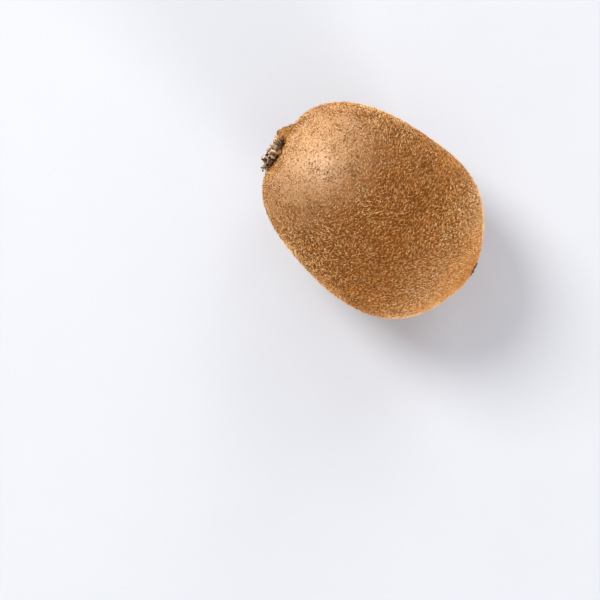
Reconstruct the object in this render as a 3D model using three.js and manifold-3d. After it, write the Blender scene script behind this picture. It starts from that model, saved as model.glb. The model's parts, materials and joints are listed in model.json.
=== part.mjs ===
// A whole kiwi fruit lying on its side, in millimetres, +Z up.
// +X runs from the stalk end to the blossom end, and the origin is the middle of the box's base,
// on the small flat spot that the fruit rests on.
//
// fruit    the oval body, blunt at the stalk end and fuller towards the blossom end
// calyx    the woody receptacle with the broken stalk and the five withered sepals
// stamens  the dried, curled filaments that stand between the sepals
// styles   the dark rosette of withered styles at the blossom end

import * as THREE from "three";
import { ParametricGeometry } from "three/addons/geometries/ParametricGeometry.js";
import { mergeVertices } from "three/addons/utils/BufferGeometryUtils.js";
import Module from "manifold-3d";

const wasm = await Module();
wasm.setup();

// ---- Driving dimensions

const LENGTH = 67; // skin to skin, stalk end to blossom end
const WIDTH = 53; // the wide diameter, which lies level
const HEIGHT = 48; // the narrow diameter, which stands upright
const WIDEST_AT = 0.57; // share of the length from the stalk end
const TALLEST_AT = 0.51;
const STALK_SHOULDER = { level: 3.05, upright: 2.5 }; // above 2 the end is blunter than an ellipse
const BLOSSOM_FALL = 2.7; // above 2 the flank stays full for longer
const BLOSSOM_SHOULDER = 1.64; // under 2 the end is more pointed than an ellipse
const REST_DEPTH = 0.35; // how much of the underside the flat spot takes away

const SWAY = 1.5; // the middle line lies this far to one side at one end, and to the other at the other
const SWAY_CROSSES_AT = 0.43;
const SWAY_SPREAD = 15;

// Shallow lumps that keep the section from being an exact oval: their height as a share of the radius,
// how many go round, how far they turn along the fruit in radians per mm, and where they start.
const LUMPS = [
  { height: 0.006, round: 3, twist: 0.08, start: 0 },
  { height: 0.004, round: 5, twist: -0.13, start: 1.7 },
  { height: 0.003, round: 2, twist: 0.21, start: 0.6 },
];

const GAP = 0.3; // between a piece and its neighbour
const STALK_END_SLOPE = 15; // degrees that the stalk end is cut back at its top
const STALK_END_SIDE = -2.6; // from the middle line, along Y
const END_SPREAD = 12; // the tilt of the end fades out over this distance
const DISH_DEPTH = 1.2;
const DISH_SPREAD = 7.5;
const BLOSSOM_END_SIDE = 1.5;
const DIMPLE_DEPTH = 0.6; // the withered styles stand in a shallow dimple
const DIMPLE_SPREAD = 2.8;

const OVER_SKIN = 0.55; // where the pieces at the ends begin, over the mean level of the skin
const CALYX_FACES = { up: 13, aside: 3.5 }; // degrees, upwards and towards -Y
const CALYX_PLUG = { radius: 2.3, depth: 1.4 };
const RECEPTACLE = { radius: 3.1, height: 2.05 };
const STALK = { radius: 1.75, top: 2.7, pith: 0.55 };
const SEPAL_THICKNESS = 0.7;
const SEPAL_ROOT = { radius: 1.2, height: 0.9 }; // inside the receptacle
const SEPAL_SHOULDER = 1.8; // the height at which a sepal leaves the receptacle's edge
const CREST_AT = 0.53; // share of a sepal's reach

// Each withered sepal: its angle in degrees round the stalk from +Y upwards, its reach from the stalk,
// its width, the height of its crest and of its tip over the skin, how far its tip leans aside, how
// many degrees its face turns about its length, and how far its edges bend towards the skin.
const SEPALS = [
  { angle: 12, reach: 9, width: 5.4, crest: 2.0, tip: 1.4, lean: -0.6, turn: -22, cup: 0.05 },
  { angle: 88, reach: 6.6, width: 4.0, crest: 2.1, tip: 1.5, lean: 0.8, turn: 10, cup: 0.05 },
  { angle: 160, reach: 5.6, width: 4.6, crest: 2.1, tip: 2.2, lean: -0.8, turn: -18, cup: -0.07 },
  { angle: 233, reach: 7.6, width: 4.4, crest: 2.2, tip: 1.3, lean: 0.9, turn: 12, cup: 0.04 },
  { angle: 305, reach: 7.2, width: 4.8, crest: 2.2, tip: 1.7, lean: -0.5, turn: -10, cup: -0.04 },
];
const STAMEN_RING = { radius: 3.9, width: 0.8, bottom: OVER_SKIN, top: 1.0 };
const STAMENS_PER_GAP = 5;
const STAMEN_FAN = 0.2; // share of the gap between two sepals that their roots fill
const STAMEN_THICKNESS = 0.5;
const STAMEN_HEIGHT = [1, 2]; // lowest and highest, as in the draws below
const STAMEN_REACH = [0.6, 2.8];
const STAMEN_DROOP = [0.5, 1]; // the tip's height as a share of the crest's
const STAMEN_SEED = 222;

const STYLES_FACE_ASIDE = 5; // degrees towards +Y
const STYLE_PLUG = { radius: 1.2, depth: 1.3 };
const STYLE_DISC = { radius: 1.5, bottom: OVER_SKIN - 0.1, top: 0.7 };
const STYLES = 22;
const STYLE_THICKNESS = 0.5;
const STYLE_ROOT = 0.5; // from the middle of the disc
const STYLE_REACH = [1.7, 2.6];
const STYLE_RISE = { middle: [0, 0.3], tip: [0, 0.2] };
const STYLE_SEED = 907;

const AROUND = 56; // facets round the fruit
const ALONG = 42; // facets from end to end
const OUTLINE_SAMPLES = 400; // points on the curve that the stations are measured along
const MEASURING_STEPS = 2000;

// ---- Finishes

const finish = (color, roughness) =>
  new THREE.MeshStandardMaterial({ color, roughness, metalness: 0 });

const FINISHES = {
  fruit: finish(0xa8733c, 0.8),
  calyx: finish(0x7a5230, 0.9),
  stamens: finish(0xb3a48c, 0.9),
  styles: finish(0x2e1d12, 0.85),
};

// ---- Solids

// A geometry as a manifold-3d solid: shared vertices are merged, and facets with no area dropped.
function solid(geometry, matrix = new THREE.Matrix4()) {
  const bare = geometry.clone().applyMatrix4(matrix);
  bare.deleteAttribute("normal");
  bare.deleteAttribute("uv");
  const merged = mergeVertices(bare, 1e-4);
  const corners = merged.index.array;
  const kept = [];
  for (let i = 0; i < corners.length; i += 3) {
    const [a, b, c] = corners.slice(i, i + 3);
    if (a !== b && b !== c && c !== a) kept.push(a, b, c);
  }
  return new wasm.Manifold(
    new wasm.Mesh({
      numProp: 3,
      vertProperties: merged.attributes.position.array,
      triVerts: new Uint32Array(kept),
    }),
  );
}

const union = (solids) => solids.reduce((all, next) => all.add(next));

// The largest surface of a solid, without stray bits and sealed pockets.
const largest = (shape) =>
  shape.decompose().sort((a, b) => b.volume() - a.volume())[0];

// A solid as a named mesh in its own finish.
function meshOf(name, shape) {
  const { vertProperties, triVerts } = shape.getMesh();
  const geometry = new THREE.BufferGeometry()
    .setAttribute("position", new THREE.BufferAttribute(vertProperties, 3))
    .setIndex(new THREE.BufferAttribute(triVerts, 1));
  geometry.computeVertexNormals();
  const mesh = new THREE.Mesh(geometry, FINISHES[name]);
  mesh.name = name;
  return mesh;
}

// A solid turned about Z from [radius, height] points that start and end on the axis.
function turned(points, facets = 24) {
  const profile = points.map(([radius, z]) => new THREE.Vector2(radius, z));
  const upright = new THREE.Matrix4().makeRotationX(Math.PI / 2);
  return solid(new THREE.LatheGeometry(profile, facets), upright);
}

// A rod along a curve, round or flattened, that comes to a point at both ends. wide and thick give
// its half sizes at a share of its length, cup pushes its edges off the middle of its face, and grow
// moves its whole surface outwards.
function rod(curve, across, { wide, thick, cup = 0, grow = 0, sides, steps }) {
  const place = (u, v, target) => {
    const along = curve.getTangentAt(v);
    const side = across.clone().projectOnPlane(along).normalize();
    const face = new THREE.Vector3().crossVectors(along, side);
    target.copy(curve.getPointAt(v));
    if (v === 0 || v === 1) {
      target.addScaledVector(along, v === 0 ? -grow : grow);
      return;
    }
    const [c, s] = [Math.cos(2 * Math.PI * u), Math.sin(2 * Math.PI * u)];
    const bend = cup * (wide(v) * c) ** 2;
    target.addScaledVector(side, (wide(v) + grow) * c);
    target.addScaledVector(face, (thick(v) + grow) * s + bend);
  };
  return solid(new ParametricGeometry(place, sides, steps));
}

// A repeatable draw of numbers between two values.
function drawer(seed) {
  let state = seed;
  return (low, high) => {
    state = (state * 16807) % 2147483647;
    return low + ((high - low) * state) / 2147483647;
  };
}

// ---- The fruit

const WIDEST_X = WIDEST_AT * LENGTH;
const TALLEST_X = TALLEST_AT * LENGTH;
const MIDDLE_Z = HEIGHT / 2 - REST_DEPTH;

// Share of the full half size at x from the stalk end, where the section is full at widest.
function fullness(x, widest, stalkShoulder) {
  const blossomSide = x > widest;
  const reach = blossomSide ? LENGTH - widest : widest;
  const away = Math.min(1, Math.abs(x - widest) / reach);
  const fall = blossomSide ? BLOSSOM_FALL : 2;
  const shoulder = blossomSide ? BLOSSOM_SHOULDER : stalkShoulder;
  return (1 - away ** fall) ** (1 / shoulder);
}

const halfWidth = (x) =>
  (WIDTH / 2) * fullness(x, WIDEST_X, STALK_SHOULDER.level);
const halfHeight = (x) =>
  (HEIGHT / 2) * fullness(x, TALLEST_X, STALK_SHOULDER.upright);

const middleY = (x) =>
  -SWAY * Math.tanh((x - SWAY_CROSSES_AT * LENGTH) / SWAY_SPREAD);

// The section's size at an angle, with its lumps, as a share of the plain oval's.
const swell = (x, angle) =>
  LUMPS.reduce(
    (size, { height, round, twist, start }) =>
      size + height * Math.sin(round * angle + twist * x + start),
    1,
  );

// The middles of the stalk end's dish and of the blossom end's styles, on the skin.
const STALK_END = new THREE.Vector3(
  DISH_DEPTH,
  middleY(0) + STALK_END_SIDE,
  MIDDLE_Z,
);
const BLOSSOM_END = new THREE.Vector3(
  LENGTH - DIMPLE_DEPTH - 0.1,
  middleY(LENGTH) + BLOSSOM_END_SIDE,
  MIDDLE_Z,
);

const fade = (distance, spread) => Math.exp(-((distance / spread) ** 2));

// How far the skin at a point moves along X: the tilt and the dish of one end, the dimple of the other.
function endShift({ x, y, z }) {
  const fromStalk = Math.hypot(y - STALK_END.y, z - STALK_END.z);
  const fromStyles = Math.hypot(y - BLOSSOM_END.y, z - BLOSSOM_END.z);
  const slope = Math.tan(THREE.MathUtils.degToRad(STALK_END_SLOPE));
  const tilt = slope * (z - STALK_END.z) * fade(fromStalk, END_SPREAD);
  const dish = DISH_DEPTH * fade(fromStalk, DISH_SPREAD);
  const dimple = DIMPLE_DEPTH * fade(fromStyles, DIMPLE_SPREAD);
  return (
    (tilt + dish) * fade(x, END_SPREAD) -
    dimple * fade(LENGTH - x, END_SPREAD)
  );
}

// Stations from pole to pole, evenly spaced over the skin.
function stations() {
  const outline = new THREE.CatmullRomCurve3(
    Array.from({ length: OUTLINE_SAMPLES }, (_, i) => {
      const turn = (Math.PI * i) / (OUTLINE_SAMPLES - 1);
      const x = (LENGTH * (1 - Math.cos(turn))) / 2;
      return new THREE.Vector3(x, halfWidth(x), 0);
    }),
  );
  outline.arcLengthDivisions = MEASURING_STEPS;
  return outline.getSpacedPoints(ALONG).map((point) => point.x);
}

// The whole oval, before its flat spot and its two sockets are cut.
function oval() {
  const xs = stations();
  const skin = (u, v, target) => {
    const x = xs[Math.round(v * ALONG)];
    const angle = 2 * Math.PI * u;
    const isPole = v === 0 || v === 1;
    const size = isPole ? 0 : swell(x, angle);
    const y = halfWidth(x) * size * Math.cos(angle);
    const z = halfHeight(x) * size * Math.sin(angle);
    target.set(x, middleY(x) + y, MIDDLE_Z + z);
    target.x += endShift(target);
  };
  return solid(new ParametricGeometry(skin, AROUND, ALONG));
}

// A socket for a plug that points along -Z of its own frame, with the gap all round it.
function socket({ radius, depth }, frame) {
  const proud = 3;
  const height = depth + GAP + proud;
  const geometry = new THREE.CylinderGeometry(
    radius + GAP,
    radius + GAP,
    height,
    32,
  );
  geometry.rotateX(Math.PI / 2).translate(0, 0, proud - height / 2);
  return solid(geometry, frame);
}

function fruit(stalkFrame, blossomFrame) {
  const under = new THREE.BoxGeometry(2 * LENGTH, 2 * WIDTH, 2);
  under.translate(LENGTH / 2, 0, -1);
  return oval()
    .subtract(solid(under))
    .subtract(socket(CALYX_PLUG, stalkFrame))
    .subtract(socket(STYLE_PLUG, blossomFrame));
}

// ---- The calyx, in its own frame: the skin is at z = 0, +Z points out of the fruit and +X upwards

// A point at an angle round the Z axis from +Y towards +X, aside from that ray.
function around(angle, radius, z, aside = 0) {
  const [s, c] = [Math.sin(angle), Math.cos(angle)];
  return new THREE.Vector3(
    radius * s + aside * c,
    radius * c - aside * s,
    z,
  );
}

// One withered sepal, from inside the receptacle over its crest to its tip, thicker all round by grow.
function sepal({ angle, reach, width, crest, tip, lean, turn, cup }, grow = 0) {
  const bearing = THREE.MathUtils.degToRad(angle);
  const curve = new THREE.CatmullRomCurve3([
    around(bearing, SEPAL_ROOT.radius, SEPAL_ROOT.height),
    around(bearing, RECEPTACLE.radius, SEPAL_SHOULDER, 0.1 * lean),
    around(bearing, CREST_AT * reach, crest, 0.4 * lean),
    around(bearing, reach, tip, lean),
  ]);
  const roll = THREE.MathUtils.degToRad(turn);
  const across = around(bearing, 0, Math.sin(roll), Math.cos(roll));
  const waved = (v) => 1 + 0.1 * Math.sin(9 * v + angle);
  const spread = (v) => Math.sin(Math.PI * v) ** 0.6 * waved(v);
  return rod(curve, across, {
    wide: (v) => (width / 2) * spread(v),
    thick: () => SEPAL_THICKNESS / 2,
    cup,
    grow,
    sides: 10,
    steps: 10,
  });
}

function calyx() {
  const { radius, height } = RECEPTACLE;
  const body = turned([
    [0, -CALYX_PLUG.depth],
    [CALYX_PLUG.radius, -CALYX_PLUG.depth],
    [CALYX_PLUG.radius, OVER_SKIN],
    [radius - 0.2, OVER_SKIN],
    [radius, OVER_SKIN + 0.2],
    [radius, height - 0.7],
    [radius - 0.8, height],
    [STALK.radius, height],
    [STALK.radius, STALK.top],
    [STALK.pith, STALK.top],
    [STALK.pith * 0.8, STALK.top - 0.5],
    [0, STALK.top - 0.5],
  ]);
  return largest(union([body, ...SEPALS.map((one) => sepal(one))]));
}

// The filaments stand in the gaps between the sepals, and lean and curl at random.
function stamens() {
  const draw = drawer(STAMEN_SEED);
  const { radius, width, bottom, top } = STAMEN_RING;
  const ring = turned([
    [radius - width / 2, bottom],
    [radius + width / 2, bottom],
    [radius + width / 2, top],
    [radius - width / 2, top],
    [radius - width / 2, bottom],
  ]);
  const filaments = [];
  SEPALS.forEach((one, i) => {
    const next = SEPALS[(i + 1) % SEPALS.length].angle;
    const span = (next - one.angle + 360) % 360;
    for (let k = 0; k < STAMENS_PER_GAP; k++) {
      const share = 0.5 + STAMEN_FAN * (k / (STAMENS_PER_GAP - 1) - 0.5);
      const bearing = THREE.MathUtils.degToRad(one.angle + span * share);
      filaments.push(filament(bearing, draw));
    }
  });
  const clearance = SEPALS.map((one) => sepal(one, 1.3 * GAP));
  return largest(union([ring, ...filaments]).subtract(union(clearance)));
}

function filament(angle, draw) {
  const { radius, bottom, top } = STAMEN_RING;
  const root = (bottom + top) / 2;
  const height = draw(...STAMEN_HEIGHT);
  const out = draw(...STAMEN_REACH);
  const fall = STAMEN_DROOP;
  const curve = new THREE.CatmullRomCurve3([
    around(angle, radius, root),
    around(angle, radius + 0.3 * out, root + 0.55 * height, draw(-0.1, 0.1)),
    around(angle, radius + 0.8 * out, root + height, draw(-0.4, 0.4)),
    around(angle, radius + out, root + draw(...fall) * height, draw(-0.8, 0.8)),
  ]);
  const half = STAMEN_THICKNESS / 2;
  return rod(curve, around(angle, 0, 0, 1), {
    wide: (v) => half * (1.1 - 0.3 * v),
    thick: (v) => half * (1.1 - 0.3 * v),
    sides: 4,
    steps: 7,
  });
}

// ---- The withered styles, in their own frame: the skin is at z = 0 and +Z points out of the fruit

function styles() {
  const draw = drawer(STYLE_SEED);
  const { radius, bottom, top } = STYLE_DISC;
  const body = turned([
    [0, -STYLE_PLUG.depth],
    [STYLE_PLUG.radius, -STYLE_PLUG.depth],
    [STYLE_PLUG.radius, bottom],
    [radius, bottom],
    [radius, top],
    [0, top + 0.2],
  ]);
  const bits = Array.from({ length: STYLES }, (_, i) => {
    const angle = (2 * Math.PI * (i + draw(-0.3, 0.3))) / STYLES;
    const reach = draw(...STYLE_REACH);
    const rise = draw(...STYLE_RISE.middle);
    const bend = draw(-0.2, 0.2);
    const tip = top + draw(...STYLE_RISE.tip);
    const curve = new THREE.CatmullRomCurve3([
      around(angle, STYLE_ROOT, top),
      around(angle, 0.6 * reach, top + rise, bend),
      around(angle, reach, tip, draw(-0.5, 0.5)),
    ]);
    const half = STYLE_THICKNESS / 2;
    return rod(curve, around(angle, 0, 0, 1), {
      wide: () => half,
      thick: () => half,
      sides: 4,
      steps: 4,
    });
  });
  return largest(union([body, ...bits]));
}

// ---- The scene: each end's pieces in a group that stands on the skin and faces out of the fruit

// A group at a place, whose +Z is turned from upright down to the end and then aside, in degrees.
function endGroup(place, down, aside) {
  const { degToRad } = THREE.MathUtils;
  const group = new THREE.Group();
  group.position.copy(place);
  group.rotation.set(0, degToRad(down), degToRad(aside), "ZYX");
  group.updateMatrix();
  return group;
}

const stalkEnd = endGroup(STALK_END, CALYX_FACES.up - 90, CALYX_FACES.aside);
stalkEnd.add(meshOf("calyx", calyx()), meshOf("stamens", stamens()));

const blossomEnd = endGroup(BLOSSOM_END, 90, STYLES_FACE_ASIDE);
blossomEnd.add(meshOf("styles", styles()));

const kiwi = new THREE.Group();
kiwi.add(meshOf("fruit", fruit(stalkEnd.matrix, blossomEnd.matrix)));
kiwi.add(stalkEnd, blossomEnd);

// The middle of the box's base is the origin.
const box = new THREE.Box3().setFromObject(kiwi, true);
const centre = box.getCenter(new THREE.Vector3());
kiwi.position.set(-centre.x, -centre.y, 0);

export default kiwi;
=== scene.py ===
"""The looks of a whole brown kiwi fruit that lies on its side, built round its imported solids.

The skin, its fuzz, the withered calyx, the dried stamens and the dark styles stand for their solids.
Sizes are in millimetres until a mesh is made. The frame is the solids' own: +X runs from the stalk end
to the blossom end, +Z is up, and the table is at z = 0.
"""

import json
import logging
import math
from dataclasses import dataclass, field, fields
from enum import Enum
from functools import lru_cache

import bpy
import numpy as np
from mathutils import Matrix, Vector

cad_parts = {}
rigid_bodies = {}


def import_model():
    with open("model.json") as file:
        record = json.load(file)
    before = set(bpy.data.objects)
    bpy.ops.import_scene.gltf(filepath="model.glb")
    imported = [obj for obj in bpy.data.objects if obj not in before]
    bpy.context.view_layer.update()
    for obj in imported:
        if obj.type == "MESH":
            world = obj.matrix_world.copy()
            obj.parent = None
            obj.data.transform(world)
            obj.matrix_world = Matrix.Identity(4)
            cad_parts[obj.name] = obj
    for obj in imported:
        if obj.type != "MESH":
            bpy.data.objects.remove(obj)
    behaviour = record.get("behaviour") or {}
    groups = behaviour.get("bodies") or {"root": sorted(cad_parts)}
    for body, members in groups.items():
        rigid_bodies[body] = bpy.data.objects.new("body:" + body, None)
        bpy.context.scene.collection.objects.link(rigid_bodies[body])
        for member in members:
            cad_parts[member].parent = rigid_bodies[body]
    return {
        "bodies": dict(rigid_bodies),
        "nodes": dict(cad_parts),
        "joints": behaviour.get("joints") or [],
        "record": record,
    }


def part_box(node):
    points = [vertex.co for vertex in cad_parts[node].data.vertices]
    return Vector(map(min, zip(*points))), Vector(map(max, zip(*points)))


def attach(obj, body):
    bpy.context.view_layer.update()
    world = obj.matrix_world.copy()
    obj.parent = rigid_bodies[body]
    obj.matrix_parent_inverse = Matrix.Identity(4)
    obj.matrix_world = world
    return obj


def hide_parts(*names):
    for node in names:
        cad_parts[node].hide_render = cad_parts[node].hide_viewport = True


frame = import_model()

LOG = logging.getLogger("kiwi_fruit")
MM = 0.001
BODY = "root"
BAKE_MAP = "OFBake"
TINY = 1e-9  # keeps a vector of no length from being divided by nothing

Array = np.ndarray
Colour = tuple[float, float, float]
Fed = bpy.types.NodeSocket | float | tuple[float, ...]  # what a node's socket can be given


# ---- Plain geometry


def unit(vectors: Array) -> Array:
    """Returns the vectors, each scaled to length 1."""
    return vectors / np.maximum(np.linalg.norm(vectors, axis=-1, keepdims=True), TINY)


def ease(values: Array, low: float, high: float) -> Array:
    """Returns 0 for values under low, 1 for those over high, and a smooth rise between them."""
    share = np.clip((values - low) / (high - low), 0, 1)
    return share * share * (3 - 2 * share)


def curve_through(points: Array, count: int) -> Array:
    """A smooth curve through a few points.

    Args:
        points: The points that it passes through, (n, 3).
        count: How many points it is returned as.

    Returns:
        Points evenly spaced along the curve, (count, 3).
    """
    steps = 24  # from each given point to the next
    padded = np.vstack([2 * points[0] - points[1], points, 2 * points[-1] - points[-2]])
    t = np.linspace(0, 1, steps, endpoint=False)[:, None]
    spans = []
    for a, b, c, d in zip(padded, padded[1:], padded[2:], padded[3:]):
        cubic = 2 * a - 5 * b + 4 * c - d + t * (3 * (b - c) + d - a)
        spans.append(b + 0.5 * t * (c - a + t * cubic))
    fine = np.vstack([*spans, points[-1:]])
    run = np.r_[0, np.cumsum(np.linalg.norm(np.diff(fine, axis=0), axis=1))]
    at = np.linspace(0, run[-1], count)
    return np.stack([np.interp(at, run, fine[:, k]) for k in range(3)], axis=1)


@dataclass(frozen=True)
class Drift:
    """Smooth repeatable noise over space, made of waves in random directions.

    Attributes:
        seed: What its random draws start from.
        size: The usual size of its lumps in mm.
        waves: How many waves are added.
        lengths: The shortest and the longest wave, as a share of the usual one.
    """

    seed: int
    size: float
    waves: int = 24
    lengths: tuple[float, float] = (0.7, 1.6)

    def at(self, points: Array) -> Array:
        """The noise, mostly from -1.5 to 1.5.

        Args:
            points: Where it is wanted, (..., 3) in mm.

        Returns:
            One number for each point.
        """
        draw = np.random.default_rng(self.seed)
        directions = unit(draw.normal(size=(self.waves, 3)))
        lengths = 2 * self.size * draw.uniform(*self.lengths, self.waves)
        starts = draw.uniform(0, 2 * np.pi, self.waves)
        phase = points @ (directions * (2 * np.pi / lengths)[:, None]).T + starts
        return np.sin(phase).sum(-1) * math.sqrt(1 / self.waves)


# ---- Meshes


@dataclass
class Shape:
    """Points and faces that are gathered for one mesh.

    Attributes:
        points: Blocks of points in mm.
        faces: Blocks of faces, each block with one number of corners.
        values: For each named attribute, its blocks of one number a point.
        places: Blocks of places in the bake map, one for each corner, or none at all.
    """

    points: list[Array] = field(default_factory=list)
    faces: list[Array] = field(default_factory=list)
    values: dict[str, list[Array]] = field(default_factory=dict)
    places: list[Array] = field(default_factory=list)

    def count(self) -> int:
        """Returns how many points there are so far."""
        return sum(len(block) for block in self.points)

    def add(self, points: Array, faces: list[Array], **values: Array) -> None:
        """Adds a block of points with its faces.

        Args:
            points: The new points, (n, 3) in mm.
            faces: Its faces, numbered from the block's own first point.
            **values: One number a point for each named attribute.
        """
        first = self.count()
        self.points.append(points)
        self.faces += [block + first for block in faces]
        for name, numbers in values.items():
            self.values.setdefault(name, []).append(numbers)

    def loft(self, rings: Array, first: Array, last: Array, **values: Array | float) -> None:
        """Adds a closed skin over rings of points, with a point at each end.

        Args:
            rings: Rings of points from one end to the other, (rings, sides, 3). Each ring runs
                anticlockwise as seen from the last end.
            first: The point at the first end.
            last: The point at the last end.
            **values: For each named attribute, one number or one for each point of the rings.
        """
        count, sides = rings.shape[:2]
        k = np.arange(sides)
        onward = (k + 1) % sides
        row = np.arange(count - 1)[:, None] * sides
        quads = np.stack([row + k, row + onward, row + onward + sides, row + k + sides], -1)
        start, end = count * sides, count * sides + 1
        tail = (count - 1) * sides
        caps = [
            np.stack([np.full(sides, start), onward, k], -1),
            np.stack([np.full(sides, end), tail + k, tail + onward], -1),
        ]
        points = np.vstack([rings.reshape(-1, 3), first, last])
        numbers = {}
        for name, value in values.items():
            held = np.broadcast_to(value, (count, sides))
            numbers[name] = np.r_[held.ravel(), held[0].mean(), held[-1].mean()]
        self.add(points, [quads.reshape(-1, 4), *caps], **numbers)

    def made(self, name: str, material: bpy.types.Material) -> bpy.types.Object:
        """Makes the object.

        Args:
            name: The object's name.
            material: What it is dressed in.

        Returns:
            The new object, in metres, linked to the scene.
        """
        points = np.vstack(self.points) * MM
        corners = np.concatenate([block.ravel() for block in self.faces])
        sizes = np.concatenate([np.full(len(block), block.shape[1]) for block in self.faces])
        mesh = bpy.data.meshes.new(name)
        mesh.vertices.add(len(points))
        mesh.vertices.foreach_set("co", points.astype(np.float32).ravel())
        mesh.loops.add(len(corners))
        mesh.loops.foreach_set("vertex_index", corners.astype(np.int32))
        mesh.polygons.add(len(sizes))
        mesh.polygons.foreach_set("loop_start", np.r_[0, np.cumsum(sizes)[:-1]].astype(np.int32))
        mesh.polygons.foreach_set("use_smooth", np.ones(len(sizes), dtype=bool))
        mesh.update(calc_edges=True)
        for key, blocks in self.values.items():
            held = mesh.attributes.new(key, "FLOAT", "POINT")
            held.data.foreach_set("value", np.concatenate(blocks).astype(np.float32))
        if self.places:
            places = mesh.uv_layers.new(name=BAKE_MAP)
            places.data.foreach_set("uv", np.vstack(self.places).astype(np.float32).ravel())
        mesh.materials.append(material)
        made = bpy.data.objects.new(name, mesh)
        bpy.context.collection.objects.link(made)
        return made


@dataclass(frozen=True)
class Strands:
    """Many tapered strands, each closed and pointed at its tip.

    Attributes:
        lines: Their middle lines from root to tip, (count, rings, 3) in mm.
        half: Half their width at each point of the line but the tip, (count, rings - 1) in mm.
        up: The way that each strand's upper side faces, (count, 1, 3), or that of each ring.
        tone: From 0, dark, to 1, pale, for each strand.
        sides: How many sides a strand has.
        flatness: How thick a strand is for its width.
    """

    lines: Array
    half: Array
    up: Array
    tone: Array
    sides: int = 3
    flatness: float = 1.0

    def shape(self) -> Shape:
        """Gathers the strands in one shape, with a place of its own in the bake map for each.

        Returns:
            The shape, with the numbers along and tone at each point.
        """
        count, rings = self.lines.shape[:2]
        sides = self.sides
        along = unit(np.gradient(self.lines, axis=1))[:, :-1]
        side = unit(np.cross(along, self.up))
        lift = self.flatness * np.cross(side, along)
        turn = 2 * np.pi * np.arange(sides) / sides + np.pi / 2
        spread = np.cos(turn)[:, None] * side[:, :, None] + np.sin(turn)[:, None] * lift[:, :, None]
        tubes = self.lines[:, :-1, None] + self.half[:, :, None, None] * spread
        each = (rings - 1) * sides + 1
        points = np.concatenate([tubes.reshape(count, each - 1, 3), self.lines[:, -1:]], axis=1)
        faces, places = self._pattern(rings)
        first = np.arange(count) * each
        columns = math.ceil(math.sqrt(count))
        cell = np.stack([np.arange(count) % columns, np.arange(count) // columns], -1)
        shape = Shape()
        shape.points.append(points.reshape(-1, 3))
        for block, block_places in zip(faces, places):
            shape.faces.append((block + first[:, None, None]).reshape(-1, block.shape[1]))
            spots = (cell[:, None, None] + block_places) / columns
            shape.places.append(spots.reshape(-1, 2))
        reach = np.r_[np.repeat(np.arange(rings - 1), sides), rings - 1] / (rings - 1)
        shape.values["along"] = [np.tile(reach, count)]
        shape.values["tone"] = [np.repeat(self.tone, each)]
        return shape

    def _pattern(self, rings: int) -> tuple[list[Array], list[Array]]:
        """One strand's faces and their places in a square of side 1.

        Args:
            rings: How many points its middle line has.

        Returns:
            Blocks of faces, and for each a block of places, (faces, corners, 2).
        """
        sides = self.sides
        k = np.arange(sides)
        onward = (k + 1) % sides
        margin = 0.08
        span = 1 - 2 * margin
        left = margin + span * k / sides
        right = margin + span * (k + 1) / sides
        height = margin + span * np.arange(rings) / (rings - 1)
        blocks, places = [], []
        for r in range(rings - 2):
            low, high = np.full(sides, height[r]), np.full(sides, height[r + 1])
            blocks.append(np.stack([k, k + sides, onward + sides, onward], -1) + r * sides)
            spots = [(left, low), (left, high), (right, high), (right, low)]
            places.append(np.stack([np.stack(spot, -1) for spot in spots], axis=1))
        last = (rings - 2) * sides
        tip = np.full(sides, last + sides)
        blocks.append(np.stack([last + k, tip, last + onward], -1))
        low, high = np.full(sides, height[-2]), np.full(sides, height[-1])
        spots = [(left, low), ((left + right) / 2, high), (right, low)]
        places.append(np.stack([np.stack(spot, -1) for spot in spots], axis=1))
        blocks.append(k[None])
        turn = 2 * np.pi * k / sides
        root_middle, root_half = np.array([0.5, 0.04]), np.array([0.4, 0.03])
        places.append(root_middle + root_half * np.stack([np.cos(turn), np.sin(turn)], -1)[None])
        return blocks, places


def worn(made: bpy.types.Object, replaces: str | None = None) -> bpy.types.Object:
    """Makes a piece part of the fruit.

    Args:
        made: The piece.
        replaces: The solid that it stands for, if it stands for one.

    Returns:
        The same piece.
    """
    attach(made, BODY)
    if replaces is not None:
        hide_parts(replaces)
    return made


# ---- The fruit's form


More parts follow.
